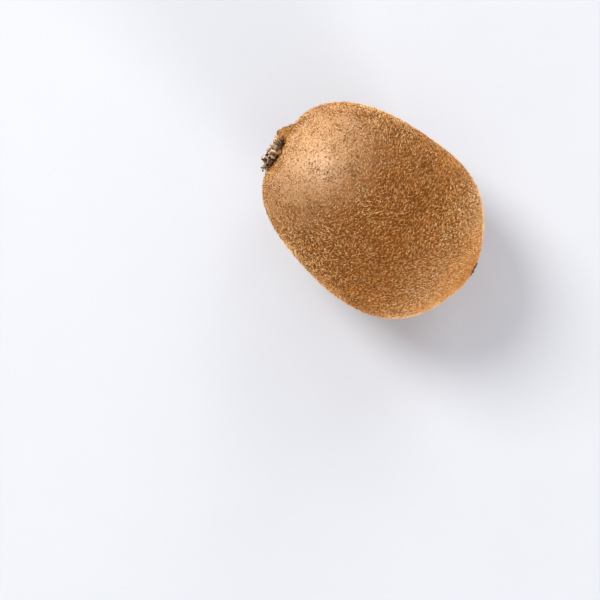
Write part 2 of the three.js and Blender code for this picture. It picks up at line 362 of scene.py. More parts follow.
@dataclass(frozen=True)
class FruitForm:
    """The oval of the fruit in its own lengthways frame, with x = 0 at the stalk end's pole.

    Attributes:
        length: From skin to skin along X.
        width: The wide diameter, which lies level.
        height: The narrow diameter, which stands upright.
        widest_at: Share of the length at which it is widest.
        tallest_at: Share of the length at which it is tallest.
        level_shoulder: Bluntness of the stalk end seen from above; 2 is an ellipse.
        upright_shoulder: Bluntness of the stalk end seen from the side.
        blossom_fall: How long the blossom end's flank stays full.
        blossom_shoulder: Bluntness of the blossom end.
        rest_depth: How much of the underside the flat spot takes away.
        sway: How far the middle line lies aside at the ends.
        sway_crosses_at: Share of the length at which it crosses over.
        sway_spread: The length over which it crosses.
        lumps: The section's lumps: height, how many go round, twist and start.
        stalk_slope: Degrees that the stalk end is cut back at its top.
        stalk_side: The stalk's place aside from the middle line.
        end_spread: The distance over which an end's shaping fades out.
        dish_depth: Depth of the hollow round the stalk.
        dish_spread: Its spread.
        blossom_side: The styles' place aside from the middle line.
        dimple_depth: Depth of the hollow round the styles.
        dimple_spread: Its spread.
        styles_sunk: How much deeper than the hollow the styles' frame lies.
        sunk: How deep the skin lies inside the solid, whose surface the fuzz reaches.
        sinks_over: How far from either end's middle it starts to sink and is fully sunk.
        sinks_above: The same over the table.
    """

    length: float = 67
    width: float = 53
    height: float = 48
    widest_at: float = 0.57
    tallest_at: float = 0.51
    level_shoulder: float = 3.05
    upright_shoulder: float = 2.5
    blossom_fall: float = 2.7
    blossom_shoulder: float = 1.64
    rest_depth: float = 0.35
    sway: float = 1.5
    sway_crosses_at: float = 0.43
    sway_spread: float = 15
    lumps: tuple[tuple[float, float, float, float], ...] = (
        (0.006, 3, 0.08, 0),
        (0.004, 5, -0.13, 1.7),
        (0.003, 2, 0.21, 0.6),
    )
    stalk_slope: float = 15
    stalk_side: float = -2.6
    end_spread: float = 12
    dish_depth: float = 1.2
    dish_spread: float = 7.5
    blossom_side: float = 1.5
    dimple_depth: float = 0.6
    dimple_spread: float = 2.8
    styles_sunk: float = 0.1
    sunk: float = 0.27
    sinks_over: tuple[float, float] = (4, 12)
    sinks_above: tuple[float, float] = (0.5, 8)

    @property
    def middle_z(self) -> float:
        """The height of the middle line over the table."""
        return self.height / 2 - self.rest_depth

    @property
    def stalk_end(self) -> Array:
        """The middle of the hollow that the stalk stands in."""
        aside = float(self.middle_y(0.0)) + self.stalk_side
        return np.array([self.dish_depth, aside, self.middle_z])

    @property
    def blossom_end(self) -> Array:
        """The middle of the hollow that the styles stand in.

        Returns:
            The place, (3,).
        """
        aside = float(self.middle_y(self.length)) + self.blossom_side
        x = self.length - self.dimple_depth - self.styles_sunk
        return np.array([x, aside, self.middle_z])

    def middle_y(self, x: Array | float) -> Array:
        """Returns how far the middle line lies aside at x."""
        return -self.sway * np.tanh((x - self.sway_crosses_at * self.length) / self.sway_spread)

    def fullness(self, x: Array, widest: float, stalk_shoulder: float) -> Array:
        """The share of the full half size at x.

        Args:
            x: From the stalk end's pole.
            widest: Where the share is 1.
            stalk_shoulder: Bluntness of the stalk end.

        Returns:
            From 0 at either pole to 1.
        """
        blossom = x > widest
        away = np.clip(np.abs(x - widest) / np.where(blossom, self.length - widest, widest), 0, 1)
        fall = np.where(blossom, self.blossom_fall, 2)
        shoulder = np.where(blossom, self.blossom_shoulder, stalk_shoulder)
        return (1 - away**fall) ** (1 / shoulder)

    def half_width(self, x: Array) -> Array:
        """Returns half the level size at x."""
        full = self.fullness(x, self.widest_at * self.length, self.level_shoulder)
        return self.width / 2 * full

    def half_height(self, x: Array) -> Array:
        """Returns half the upright size at x."""
        full = self.fullness(x, self.tallest_at * self.length, self.upright_shoulder)
        return self.height / 2 * full

    def end_shift(self, points: Array) -> Array:
        """How far the shaping of the ends moves the skin along X.

        Args:
            points: Points of the plain oval, (..., 3).

        Returns:
            One distance for each point.
        """
        from_stalk = np.linalg.norm((points - self.stalk_end)[..., 1:], axis=-1)
        from_styles = np.linalg.norm((points - self.blossom_end)[..., 1:], axis=-1)
        slope = math.tan(math.radians(self.stalk_slope))
        tilt = slope * (points[..., 2] - self.middle_z) * np.exp(-((from_stalk / self.end_spread) ** 2))
        dish = self.dish_depth * np.exp(-((from_stalk / self.dish_spread) ** 2))
        dimple = self.dimple_depth * np.exp(-((from_styles / self.dimple_spread) ** 2))
        near_stalk = np.exp(-((points[..., 0] / self.end_spread) ** 2))
        near_blossom = np.exp(-(((self.length - points[..., 0]) / self.end_spread) ** 2))
        return (tilt + dish) * near_stalk - dimple * near_blossom

    def plain(self, x: Array, angle: Array) -> Array:
        """Points of the skin in the lengthways frame.

        Args:
            x: From the stalk end's pole.
            angle: Round the middle line, from +Y upwards.

        Returns:
            The points, (..., 3).
        """
        swell = 1.0 + sum(
            height * np.sin(number * angle + twist * x + start)
            for height, number, twist, start in self.lumps
        )
        y = self.middle_y(x) + self.half_width(x) * swell * np.cos(angle)
        z = self.middle_z + self.half_height(x) * swell * np.sin(angle)
        points = np.stack(np.broadcast_arrays(x, y, z), axis=-1)
        points[..., 0] += self.end_shift(points)
        return points

    @lru_cache
    def stations(self, count: int = 600) -> Array:
        """Places along x that are evenly spaced over the skin.

        Args:
            count: How many there are.

        Returns:
            The places from pole to pole, (count,).
        """
        measured = 4001  # places that the way over the skin is summed over
        x = self.length * (1 - np.cos(np.linspace(0, np.pi, measured))) / 2
        run = np.r_[0, np.cumsum(np.hypot(np.diff(x), np.diff(self.half_width(x))))]
        return np.interp(np.linspace(0, run[-1], count), run, x)

    @lru_cache
    def origin(self) -> Array:
        """What moves the lengthways frame onto the solids' frame.

        Returns:
            The move, (3,) in mm.
        """
        half_degrees = np.linspace(0, 2 * np.pi, 721)
        x, angle = np.meshgrid(self.stations(), half_degrees)
        points = self.plain(x, angle).reshape(-1, 3)
        low, high = (np.array(corner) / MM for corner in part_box("fruit"))
        shift = (low + high) / 2 - (points.min(0) + points.max(0)) / 2
        return np.array([shift[0], shift[1], 0])

    def point(self, share: Array, angle: Array) -> Array:
        """Points of the skin in the solids' frame.

        Args:
            share: From 0 at the stalk end to 1 at the blossom end, even over the skin.
            angle: Round the middle line, from +Y upwards.

        Returns:
            The points, (..., 3) in mm.
        """
        stations = self.stations()
        x = np.interp(share, np.linspace(0, 1, len(stations)), stations)
        return self.plain(x, angle) + self.origin()

    def depth(self, points: Array) -> Array:
        """How deep the skin lies inside the solid, which is nothing at both ends and on the table.

        Args:
            points: Points in the solids' frame, (..., 3).

        Returns:
            One depth for each point, in mm.
        """
        own = points - self.origin()
        ends = (self.stalk_end, self.blossom_end)
        nearest = np.minimum(*(np.linalg.norm(own - end, axis=-1) for end in ends))
        return self.sunk * ease(nearest, *self.sinks_over) * ease(points[..., 2], *self.sinks_above)


@dataclass(frozen=True)
class Roots:
    """Places on the skin that something grows from.

    Attributes:
        points: Where they are, in mm.
        out: Straight out of the skin.
        girth: Along the skin round the fruit.
        length: Along the skin towards the blossom end.
        x: From the stalk end's pole.
        angle: Round the middle line, from +Y upwards.
    """

    points: Array
    out: Array
    girth: Array
    length: Array
    x: Array
    angle: Array

    @classmethod
    def at(cls, form: FruitForm, share: Array, angle: Array) -> "Roots":
        """Reads the skin at some places.

        Args:
            form: The fruit's form.
            share: From 0 at the stalk end to 1 at the blossom end.
            angle: Round the middle line.

        Returns:
            The places.
        """
        step = 1e-3  # in share and in radians, between the points that a slope is read from
        share = np.clip(share, 2 * step, 1 - 2 * step)
        points = form.point(share, angle)
        round_it = form.point(share, angle - step) - form.point(share, angle + step)
        onward = form.point(share + step, angle) - form.point(share - step, angle)
        girth, length = unit(round_it), unit(onward)
        out = unit(np.cross(length, girth))
        x = points[..., 0] - form.origin()[0]
        points = points - form.depth(points)[..., None] * out
        return cls(points, out, girth, unit(np.cross(girth, out)), x, angle)

    @classmethod
    def spread(cls, form: FruitForm, count: int, seed: int) -> "Roots":
        """Spreads places evenly over the whole skin.

        Args:
            form: The fruit's form.
            count: How many places there are.
            seed: What the random draws start from.

        Returns:
            The places, in a spiral from the stalk end with each one moved a little at random.
        """
        draw = np.random.default_rng(seed)
        stations = form.stations()
        girth = form.half_width(stations) + form.half_height(stations)
        area = np.r_[0, np.cumsum((girth[1:] + girth[:-1]) / 2)]
        turns = np.arange(count) + 0.5
        even = np.interp(turns / count, area / area[-1], np.linspace(0, 1, len(stations)))
        golden = np.pi * (3 - math.sqrt(5))
        jitter = draw.uniform(-1, 1, (2, count)) / math.sqrt(count)
        onward, round_it = 0.5, 1.5  # how far a place may move, in gaps between neighbours
        angle = np.arange(count) * golden + round_it * jitter[1]
        return cls.at(form, even + onward * jitter[0], angle)

    def chosen(self, keep: Array | slice) -> "Roots":
        """Returns the places that keep picks."""
        return Roots(*(getattr(self, held.name)[keep] for held in fields(self)))


@dataclass(frozen=True)
class EndFrame:
    """A frame at one end of the fruit, with z = 0 on the skin, +Z out of the fruit and +X upwards.

    Attributes:
        place: Its origin in the solids' frame, in mm.
        down: Degrees that +Z is turned from upright towards +X.
        aside: Degrees that it is then turned about the upright.
    """

    place: Array
    down: float
    aside: float

    def out(self, points: Array) -> Array:
        """Returns points of this frame in the solids' frame."""
        return points @ self.turn().T + self.place

    def turn(self) -> Array:
        """The turn from this frame to the solids' frame.

        Returns:
            Its matrix, (3, 3).
        """
        down, aside = math.radians(self.down), math.radians(self.aside)
        tip = np.array(
            [[math.cos(down), 0, math.sin(down)], [0, 1, 0], [-math.sin(down), 0, math.cos(down)]]
        )
        swing = np.array(
            [[math.cos(aside), -math.sin(aside), 0], [math.sin(aside), math.cos(aside), 0], [0, 0, 1]]
        )
        return swing @ tip


def around(bearing: Array, radius: Array, z: Array, aside: Array = 0.0) -> Array:
    """Returns points of an end frame, out along a bearing from +Y towards +X and then aside of it."""
    s, c = np.sin(bearing), np.cos(bearing)
    return np.stack(np.broadcast_arrays(radius * s + aside * c, radius * c - aside * s, z), axis=-1)


@dataclass(frozen=True)
class Lathe:
    """A profile that is turned about an end frame's +Z.

    Attributes:
        profile: A few points of it from inside the fruit outwards, radius and height.
        steps: Rings of facets along it.
        sides: Facets round it.
        past: How much higher than the first and the last of them its two ends' points lie.
    """

    profile: tuple[tuple[float, float], ...]
    steps: int
    sides: int
    past: tuple[float, float]

    def turn(self) -> Array:
        """Returns the angles of its sides."""
        return 2 * np.pi * np.arange(self.sides) / self.sides

    def rings(self) -> Array:
        """Turns the profile.

        Returns:
            The rings of points, (steps, sides, 3), each of which starts on +X.
        """
        outline = curve_through(np.array([(radius, z, 0) for radius, z in self.profile]), self.steps)
        radius, z = outline[:, :1], outline[:, 1:2]
        turned = np.broadcast_arrays(radius * np.cos(self.turn()), radius * np.sin(self.turn()), z)
        return np.stack(turned, axis=-1)

    def shape(self, frame: EndFrame, rings: Array, tone: Array | float) -> Shape:
        """Closes the rings, once they are roughened, to a solid piece.

        Args:
            frame: The frame of the end that it stands on.
            rings: Its rings of points.
            tone: The finish's tone at each point of the rings, or all over.

        Returns:
            The piece, with the numbers across and tone at each point.
        """
        ends = [(0, 0, self.profile[end][1] + self.past[end]) for end in (0, -1)]
        across = 1 - np.abs(np.arange(self.sides) / self.sides * 2 - 1)
        shape = Shape()
        shape.loft(frame.out(rings), *frame.out(np.array(ends)), across=across[None], tone=tone)
        return shape


# ---- Node graphs


class Graph:
    """A node tree that is being wired.

    Attributes:
        tree: The tree.
    """

    def __init__(self, tree: bpy.types.NodeTree) -> None:
        """Starts with the tree as it is."""
        self.tree = tree

    def add(self, kind: str, **settings: object) -> bpy.types.Node:
        """Adds a node.

        Args:
            kind: The node's type.
            **settings: Its own settings.

        Returns:
            The node.
        """
        node = self.tree.nodes.new(kind)
        for name, value in settings.items():
            setattr(node, name, value)
        return node

    def feed(self, socket: bpy.types.NodeSocket, value: Fed) -> None:
        """Links a socket to another, or sets it to a plain value.

        Args:
            socket: The socket that takes the value.
            value: A number, a colour or the socket that gives it.
        """
        if isinstance(value, bpy.types.NodeSocket):
            self.tree.links.new(value, socket)
        else:
            socket.default_value = value

    def maths(self, operation: str, *values: Fed) -> bpy.types.NodeSocket:
        """Works out a sum with a Math node.

        Args:
            operation: What the node does.
            *values: Numbers or sockets.

        Returns:
            The result.
        """
        node = self.add("ShaderNodeMath", operation=operation)
        for socket, value in zip(node.inputs, values):
            self.feed(socket, value)
        return node.outputs[0]

    def mix(self, share: Fed, first: Fed, second: Fed) -> bpy.types.NodeSocket:
        """Mixes two colours.

        Args:
            share: How much of the second there is.
            first: The first colour, (r, g, b, 1) or a socket.
            second: The second colour.

        Returns:
            The mixed colour.
        """
        node = self.add("ShaderNodeMix", data_type="RGBA")
        # The node has a set of sockets for each kind of data, and these are the colours' own.
        for socket, value in zip((0, 6, 7), (share, first, second)):
            self.feed(node.inputs[socket], value)
        return node.outputs[2]

    def between(self, value: Fed, low: float, high: float) -> bpy.types.NodeSocket:
        """A smooth step from one number to another.

        Args:
            value: The number or socket to place on the step.
            low: Where the step starts.
            high: Where it ends; it may be under low.

        Returns:
            0 before the step, 1 after it, and a smooth rise on it.
        """
        node = self.add("ShaderNodeMapRange", interpolation_type="SMOOTHSTEP")
        self.feed(node.inputs["Value"], value)
        self.feed(node.inputs["From Min"], low)
        self.feed(node.inputs["From Max"], high)
        return node.outputs["Result"]

    def attribute(self, name: str) -> bpy.types.NodeSocket:
        """Returns a mesh attribute's number."""
        return self.add("ShaderNodeAttribute", attribute_name=name).outputs["Fac"]

    def group(self, tree: bpy.types.NodeTree, **values: Fed) -> bpy.types.Node:
        """Adds a node group.

        Args:
            tree: The group's tree.
            **values: What its inputs get, with _ for a space in their names.

        Returns:
            The group's node.
        """
        node = self.add("ShaderNodeGroup", node_tree=tree)
        for name, value in values.items():
            self.feed(node.inputs[name.replace("_", " ")], value)
        return node


class Socket(Enum):
    """What a group's socket carries."""

    VALUE = "NodeSocketFloat"
    VECTOR = "NodeSocketVector"
    COLOUR = "NodeSocketColor"


def new_group(
    name: str, takes: dict[str, Socket], gives: dict[str, Socket]
) -> tuple[Graph, bpy.types.Node, bpy.types.Node]:
    """Starts a shader node group.

    Args:
        name: Its name.
        takes: Its inputs.
        gives: Its outputs.

    Returns:
        Its graph, its input node and its output node.
    """
    tree = bpy.data.node_groups.new(name, "ShaderNodeTree")
    for way, sockets in (("INPUT", takes), ("OUTPUT", gives)):
        for label, kind in sockets.items():
            tree.interface.new_socket(name=label, in_out=way, socket_type=kind.value)
    graph = Graph(tree)
    return graph, graph.add("NodeGroupInput"), graph.add("NodeGroupOutput")


def noise(
    graph: Graph, place: Fed, size: Fed, detail: float, distortion: float = 0.0
) -> bpy.types.NodeSocket:
    """Noise with lumps of a real size.

    Args:
        graph: Where it goes.
        place: Where it is read, in metres.
        size: The size of its lumps in mm, a number or a socket.
        detail: How much finer noise is added.
        distortion: How much its lumps are pulled about.

    Returns:
        From 0 to 1.
    """
    node = graph.add("ShaderNodeTexNoise")
    graph.feed(node.inputs["Vector"], place)
    graph.feed(node.inputs["Scale"], graph.maths("DIVIDE", 1 / MM, size))
    node.inputs["Detail"].default_value = detail
    node.inputs["Distortion"].default_value = distortion
    return node.outputs[0]


@lru_cache
def mottling() -> bpy.types.NodeTree:
    """Builds the group for soft patches of a second colour, in two sizes.

    Returns:
        The group's tree.
    """
    graph, given, result = new_group(
        "mottling",
        {
            "Place": Socket.VECTOR,
            "Size": Socket.VALUE,
            "Amount": Socket.VALUE,
            "Colour": Socket.COLOUR,
            "Patches": Socket.COLOUR,
        },
        {"Colour": Socket.COLOUR},
    )
    broad_edge, small_edge = (0.36, 0.64), (0.35, 0.65)  # in the noise's own height
    small_size, small_share = 0.3, 0.35  # of the broad patches' size, and of the whole
    pulled = 0.6
    place, size = given.outputs["Place"], given.outputs["Size"]
    broad = graph.between(noise(graph, place, size, 2, pulled), *broad_edge)
    small = noise(graph, place, graph.maths("MULTIPLY", size, small_size), 2)
    small = graph.maths("MULTIPLY", graph.between(small, *small_edge), small_share)
    both = graph.maths("MULTIPLY_ADD", broad, 1 - small_share, small)
    share = graph.maths("MULTIPLY", both, given.outputs["Amount"])
    mixed = graph.mix(share, given.outputs["Colour"], given.outputs["Patches"])
    graph.feed(result.inputs["Colour"], mixed)
    return graph.tree


@lru_cache
def fibre() -> bpy.types.NodeTree:
    """Builds the group for fine curly fibres: thin ridges that wander over a surface.

    Returns:
        The group's tree.
    """
    graph, given, result = new_group(
        "fibre",
        {"Place": Socket.VECTOR, "Size": Socket.VALUE},
        {"Ridge": Socket.VALUE},
    )
    ridge_half = 0.085  # in the noise's own height, which the ridges follow halfway up
    pulled = 1.2
    raw = noise(graph, given.outputs["Place"], given.outputs["Size"], 2, pulled)
    away = graph.maths("ABSOLUTE", graph.maths("SUBTRACT", raw, 0.5))
    graph.feed(result.inputs["Ridge"], graph.between(away, ridge_half, 0.0))
    return graph.tree


@lru_cache
def strand_colour() -> bpy.types.NodeTree:
    """Builds the group for a strand's colour, by its own tone and from its root to its tip, with
    painted shade at the root.

    Returns:
        The group's tree.
    """
    graph, given, result = new_group(
        "strand_colour",
        {
            "Tone": Socket.VALUE,
            "Along": Socket.VALUE,
            "Dark": Socket.COLOUR,
            "Middle": Socket.COLOUR,
            "Pale": Socket.COLOUR,
            "Root Shade": Socket.VALUE,
        },
        {"Colour": Socket.COLOUR},
    )
    tone = given.outputs["Tone"]
    lower = graph.mix(graph.between(tone, 0.0, 0.5), given.outputs["Dark"], given.outputs["Middle"])
    whole = graph.mix(graph.between(tone, 0.5, 1.0), lower, given.outputs["Pale"])
    # Painted shade: each strand darkens towards its root, where it lies down among the others.
    near_root = graph.maths("SUBTRACT", 1.0, graph.between(given.outputs["Along"], 0.0, 0.5))
    shade = graph.maths("MULTIPLY", near_root, given.outputs["Root Shade"])
    graph.feed(result.inputs["Colour"], graph.mix(shade, whole, given.outputs["Dark"]))
    return graph.tree


# ---- Finishes


def tint(colour: Colour) -> tuple[float, float, float, float]:
    """Returns the colour as a socket takes it."""
    return (*colour, 1.0)


@dataclass(frozen=True)
class Coat:
    """A material that is being made.

    Attributes:
        material: The material.
        graph: Its nodes.
        shader: Its Principled shader.
        place: The place on the surface, in metres.
    """

    material: bpy.types.Material
    graph: Graph
    shader: bpy.types.Node
    place: bpy.types.NodeSocket

    @classmethod
    def new(cls, name: str, specular: float) -> "Coat":
        """Starts a material.

        Args:
            name: Its name.
            specular: The strength of its gloss.

        Returns:
            The material with a Principled shader alone.
        """
        material = bpy.data.materials.new(name)
        material.use_nodes = True
        graph = Graph(material.node_tree)
        shader = material.node_tree.nodes["Principled BSDF"]
        shader.inputs["Specular IOR Level"].default_value = specular
        place = graph.add("ShaderNodeTexCoord").outputs["Object"]
        return cls(material, graph, shader, place)

    def wear(self, colour: Fed, roughness: Fed) -> None:
        """Sets its colour and its roughness, each a value or a socket."""
        self.graph.feed(self.shader.inputs["Base Color"], colour)
        self.graph.feed(self.shader.inputs["Roughness"], roughness)

    def raise_by(self, height: bpy.types.NodeSocket, depth: float) -> None:
        """Raises the surface.

        Args:
            height: Its height, from 0 to 1.
            depth: How far 1 stands over 0, in mm.
        """
        bump = self.graph.add("ShaderNodeBump")
        bump.inputs["Distance"].default_value = depth * MM
        self.graph.feed(bump.inputs["Height"], height)
        self.graph.feed(self.shader.inputs["Normal"], bump.outputs["Normal"])


@dataclass(frozen=True)
class SkinFinish:
    """Matte brown skin with darker specks, seen between the hairs, with painted shade in the hollows of
    its grain, a pale worn shoulder that is partly a painted highlight, and painted warm rim light
    towards the blossom end.

    Attributes:
        brown: Its main colour.
        red: The colour of its redder patches.
        amber: The warm colour of the painted rim light towards the blossom end.
        rubbed: The paler colour where the fuzz is worn thin, which is partly a painted highlight on the
            lit shoulder.
        speck: The colour of the specks.
        patch_size: The size of the patches in mm.
        patch_amount: How far the patches lean towards red.
        speck_spacing: How far apart the specks are in mm.
        speck_edge: Where a speck starts and where it is full, as shares of the spacing.
        speck_least: The share of the specks' colour where the fuzz isn't worn.
        bare_size: The size of the places with no specks in mm.
        bare_edge: Where such places end, in the noise that places them.
        grain_size: The size of the skin's fine grain in mm.
        grain_height: How far it stands up in mm.
        grain_dark: How dark the painted shade in its hollows is.
        grain_edge: Where a hollow's painted shade starts and where it is darkest, in the grain's own
            height.
        roughness: How matt the skin is.
        specular: The strength of its own gloss.
        gloss: How strong the polish is where the fuzz is worn thin.
        gloss_roughness: How dull that polish is.
    """

    brown: Colour = (0.17, 0.058, 0.008)
    red: Colour = (0.20, 0.062, 0.013)
    amber: Colour = (0.46, 0.18, 0.025)
    rubbed: Colour = (0.60, 0.338, 0.15)
    speck: Colour = (0.20, 0.075, 0.02)
    patch_size: float = 6
    patch_amount: float = 0.9
    speck_spacing: float = 1.45
    speck_edge: tuple[float, float] = (0.30, 0.17)
    speck_least: float = 0.4
    bare_size: float = 3.0
    bare_edge: tuple[float, float] = (0.36, 0.52)
    grain_size: float = 0.4
    grain_height: float = 0.08
    grain_dark: float = 0.5
    grain_edge: tuple[float, float] = (0.56, 0.36)
    roughness: float = 0.7
    specular: float = 0.15
    gloss: float = 0.85
    gloss_roughness: float = 0.42

    def material(self) -> bpy.types.Material:
        """Wires the material, which reads the mesh's numbers amber and rubbed.

        Returns:
            The material.
        """
        coat = Coat.new("kiwi_skin", self.specular)
        graph = coat.graph
        rubbed = graph.attribute("rubbed")
        patches = graph.group(
            mottling(),
            Place=coat.place,
            Size=self.patch_size,
            Amount=self.patch_amount,
            Colour=tint(self.brown),
            Patches=tint(self.red),
        )
        # Painted warm rim light: the skin turns amber towards the blossom end.
        rim_lit = graph.mix(graph.attribute("amber"), patches.outputs["Colour"], tint(self.amber))
        # Painted highlight: the pale worn shoulder is partly the skin's real worn colour and partly a
        # highlight painted in.
        base = graph.mix(rubbed, rim_lit, tint(self.rubbed))
        grain = noise(graph, coat.place, self.grain_size, 3)
        # Painted shade: the grain's hollows are darkened towards the skin's brown.
        dark = graph.maths("MULTIPLY", graph.between(grain, *self.grain_edge), self.grain_dark)
        hollow_shaded = graph.mix(dark, base, tint(self.brown))
        specks = self.specks(coat, rubbed)
        coat.wear(graph.mix(specks, hollow_shaded, tint(self.speck)), self.roughness)
        clear = graph.maths("MULTIPLY_ADD", specks, -self.gloss, self.gloss)
        graph.feed(coat.shader.inputs["Coat Weight"], graph.maths("MULTIPLY", rubbed, clear))
        coat.shader.inputs["Coat Roughness"].default_value = self.gloss_roughness
        coat.raise_by(grain, self.grain_height)
        return coat.material

    def specks(self, coat: Coat, rubbed: bpy.types.NodeSocket) -> bpy.types.NodeSocket:
        """How much of the speck colour there is, most where the fuzz is worn thin.

        Args:
            coat: The material.
            rubbed: How far the fuzz is worn, which is also where the highlight is painted.

        Returns:
            From 0 to 1.
        """
        graph = coat.graph
        cells = graph.add("ShaderNodeTexVoronoi")
        graph.feed(cells.inputs["Vector"], coat.place)
        cells.inputs["Scale"].default_value = 1 / (self.speck_spacing * MM)
        dot = graph.between(cells.outputs["Distance"], *self.speck_edge)
        some = graph.between(noise(graph, coat.place, self.bare_size, 1), *self.bare_edge)
        amount = graph.maths("MULTIPLY_ADD", rubbed, 1 - self.speck_least, self.speck_least)
        return graph.maths("MULTIPLY", graph.maths("MULTIPLY", dot, some), amount)


@dataclass(frozen=True)
class StrandFinish:
    """Dry strands, each with its own shade between three colours.

    Attributes:
        name: The material's name.
        dark: The darkest colour.
        middle: The usual colour.
        pale: The palest colour.
        patches: The colour that some neighbourhoods lean towards.
        patch_size: The size of those neighbourhoods in mm.
        patch_amount: How far they lean.
        root_shade: How dark the painted shade at the roots is.
        furrows: How dark the painted shade of the fine furrows that wander over it is.
        furrow_size: How far apart they are in mm.
        roughness: How matt the strands are.
        specular: The strength of their gloss.
    """

    name: str
    dark: Colour
    middle: Colour
    pale: Colour
    patches: Colour
    patch_size: float = 5
    patch_amount: float = 0.3
    root_shade: float = 0.5
    furrows: float = 0.0
    furrow_size: float = 0.8
    roughness: float = 0.55
    specular: float = 0.4

    def material(self) -> bpy.types.Material:
        """Wires the material, which reads the mesh's numbers tone and along.

        Returns:
            The material.
        """
        coat = Coat.new(self.name, self.specular)
        graph = coat.graph
        own = graph.group(
            strand_colour(),
            Tone=graph.attribute("tone"),
            Along=graph.attribute("along"),
            Dark=tint(self.dark),
            Middle=tint(self.middle),
            Pale=tint(self.pale),
            Root_Shade=self.root_shade,
        )
        leaning = graph.group(
            mottling(),
            Place=coat.place,
            Size=self.patch_size,
            Amount=self.patch_amount,
            Colour=own.outputs["Colour"],
            Patches=tint(self.patches),
        )
        colour = leaning.outputs["Colour"]
        if self.furrows:
            fibres = graph.group(fibre(), Place=coat.place, Size=self.furrow_size)
            # Painted shade: fine wandering lines are darkened as furrows.
            painted_furrow_shade = graph.maths("MULTIPLY", fibres.outputs["Ridge"], self.furrows)
            colour = graph.mix(painted_furrow_shade, colour, tint(self.dark))
        coat.wear(colour, self.roughness)
        return coat.material


@dataclass(frozen=True)
class HuskFinish:
    """Dry plant skin with lengthwise veins, such as a withered sepal or a broken stalk.

    Attributes:
        name: The material's name.
        grey: Its weathered colour.
        brown: The colour of its browner parts.
        dark: The colour of the painted shade in the furrows between its veins.
        vein_count: How many veins lie across it.
        vein_height: How far they stand up in mm.
        vein_wander: How far a vein wanders aside, in radians of its own wave.
        wander_size: How far a wandering runs in mm.
        fibre_size: The spacing in mm of the fine fibres over the veins.
        fibre_share: Their share of the relief.
        furrow_edge: Where a furrow's painted shade starts and where it is darkest, in the relief's own
            height.
        furrow_dark: How dark the painted shade in a furrow is.
        patch_size: The size of its browner patches in mm.
        patch_amount: How brown they are where the mesh's tone is 0, and how much more where it is 1.
        roughness: How matt it is.
        specular: The strength of its gloss.
    """

    name: str
    grey: Colour
    brown: Colour
    dark: Colour
    vein_count: float = 9
    vein_height: float = 0.12
    vein_wander: float = 2.5
    wander_size: float = 1.2
    fibre_size: float = 0.5
    fibre_share: float = 0.4
    furrow_edge: tuple[float, float] = (0.45, 0.05)
    furrow_dark: float = 0.75
    patch_size: float = 1.6
    patch_amount: tuple[float, float] = (0.1, 0.8)
    roughness: float = 0.75
    specular: float = 0.3

    def material(self) -> bpy.types.Material:
        """Wires the material, which reads the mesh's numbers across and tone.

        Returns:
            The material.
        """
        coat = Coat.new(self.name, self.specular)
        graph = coat.graph
        least, more = self.patch_amount
        amount = graph.maths("MULTIPLY_ADD", graph.attribute("tone"), more, least)
        patches = graph.group(
            mottling(),
            Place=coat.place,
            Size=self.patch_size,
            Amount=amount,
            Colour=tint(self.grey),
            Patches=tint(self.brown),
        )
        own = graph.mix(graph.attribute("tone"), patches.outputs["Colour"], tint(self.brown))
        wander = noise(graph, coat.place, self.wander_size, 2)
        wander = graph.maths("MULTIPLY", wander, self.vein_wander)
        turn = graph.maths("MULTIPLY_ADD", graph.attribute("across"), self.vein_count * math.pi, wander)
        vein = graph.maths("MULTIPLY_ADD", graph.maths("COSINE", turn), 0.5, 0.5)
        vein = graph.maths("MULTIPLY", vein, 1 - self.fibre_share)
        ridge = graph.group(fibre(), Place=coat.place, Size=self.fibre_size).outputs["Ridge"]
        relief = graph.maths("MULTIPLY_ADD", ridge, self.fibre_share, vein)
        # Painted shade in the furrows between the veins and fibres.
        painted_furrow_shade = graph.between(relief, *self.furrow_edge)
        painted_furrow_shade = graph.maths("MULTIPLY", painted_furrow_shade, self.furrow_dark)
        coat.wear(graph.mix(painted_furrow_shade, own, tint(self.dark)), self.roughness)
        coat.raise_by(relief, self.vein_height)
        return coat.material


@dataclass(frozen=True)
class TableFinish:
    """The plain pale surface that the fruit lies on.

    Attributes:
        pale: Its colour.
        patches: The colour of its very faint patches.
        patch_size: The size of those patches in mm.
        roughness: How matt it is.
        specular: The strength of its gloss.
    """

    pale: Colour = (0.605, 0.611, 0.650)
    patches: Colour = (0.597, 0.603, 0.643)
    patch_size: float = 60
    roughness: float = 0.7
    specular: float = 0.2

    def material(self) -> bpy.types.Material:
        """Wires the material.

        Returns:
            The material.
        """
        coat = Coat.new("pale_table", self.specular)
        patches = coat.graph.group(
            mottling(),
            Place=coat.place,
            Size=self.patch_size,
            Amount=1.0,
            Colour=tint(self.pale),
            Patches=tint(self.patches),
        )
        coat.wear(patches.outputs["Colour"], self.roughness)
        return coat.material


FUZZ = StrandFinish(
    name="kiwi_fuzz",
    dark=(0.20, 0.060, 0.004),
    middle=(0.70, 0.277, 0.043),
    pale=(1.0, 0.665, 0.31),
    patches=(0.62, 0.19, 0.03),
    patch_amount=0.1,
    root_shade=0.85,
    specular=0.2,
)
SEPAL_FUR = StrandFinish(
    name="sepal_fur",
    # Its dark is also the colour of the painted shade along the sepals' edges.
    dark=(0.07, 0.025, 0.006),
    middle=(0.54, 0.23, 0.047),
    pale=(0.80, 0.42, 0.12),
    patches=(0.55, 0.30, 0.10),
    patch_size=1.5,
)
DRY_STAMENS = StrandFinish(
    name="dry_stamens",
    # This near-black is partly the stamens' own dark brown and partly painted shade in the tangle's
    # gaps.
    dark=(0.034, 0.011, 0.004),
    middle=(0.64, 0.41, 0.24),
    pale=(0.97, 0.71, 0.47),
    patches=(0.17, 0.065, 0.022),
    patch_size=0.7,
    patch_amount=0.4,
    root_shade=0.8,
    furrows=0.4,
    roughness=0.8,
    specular=0.2,
)
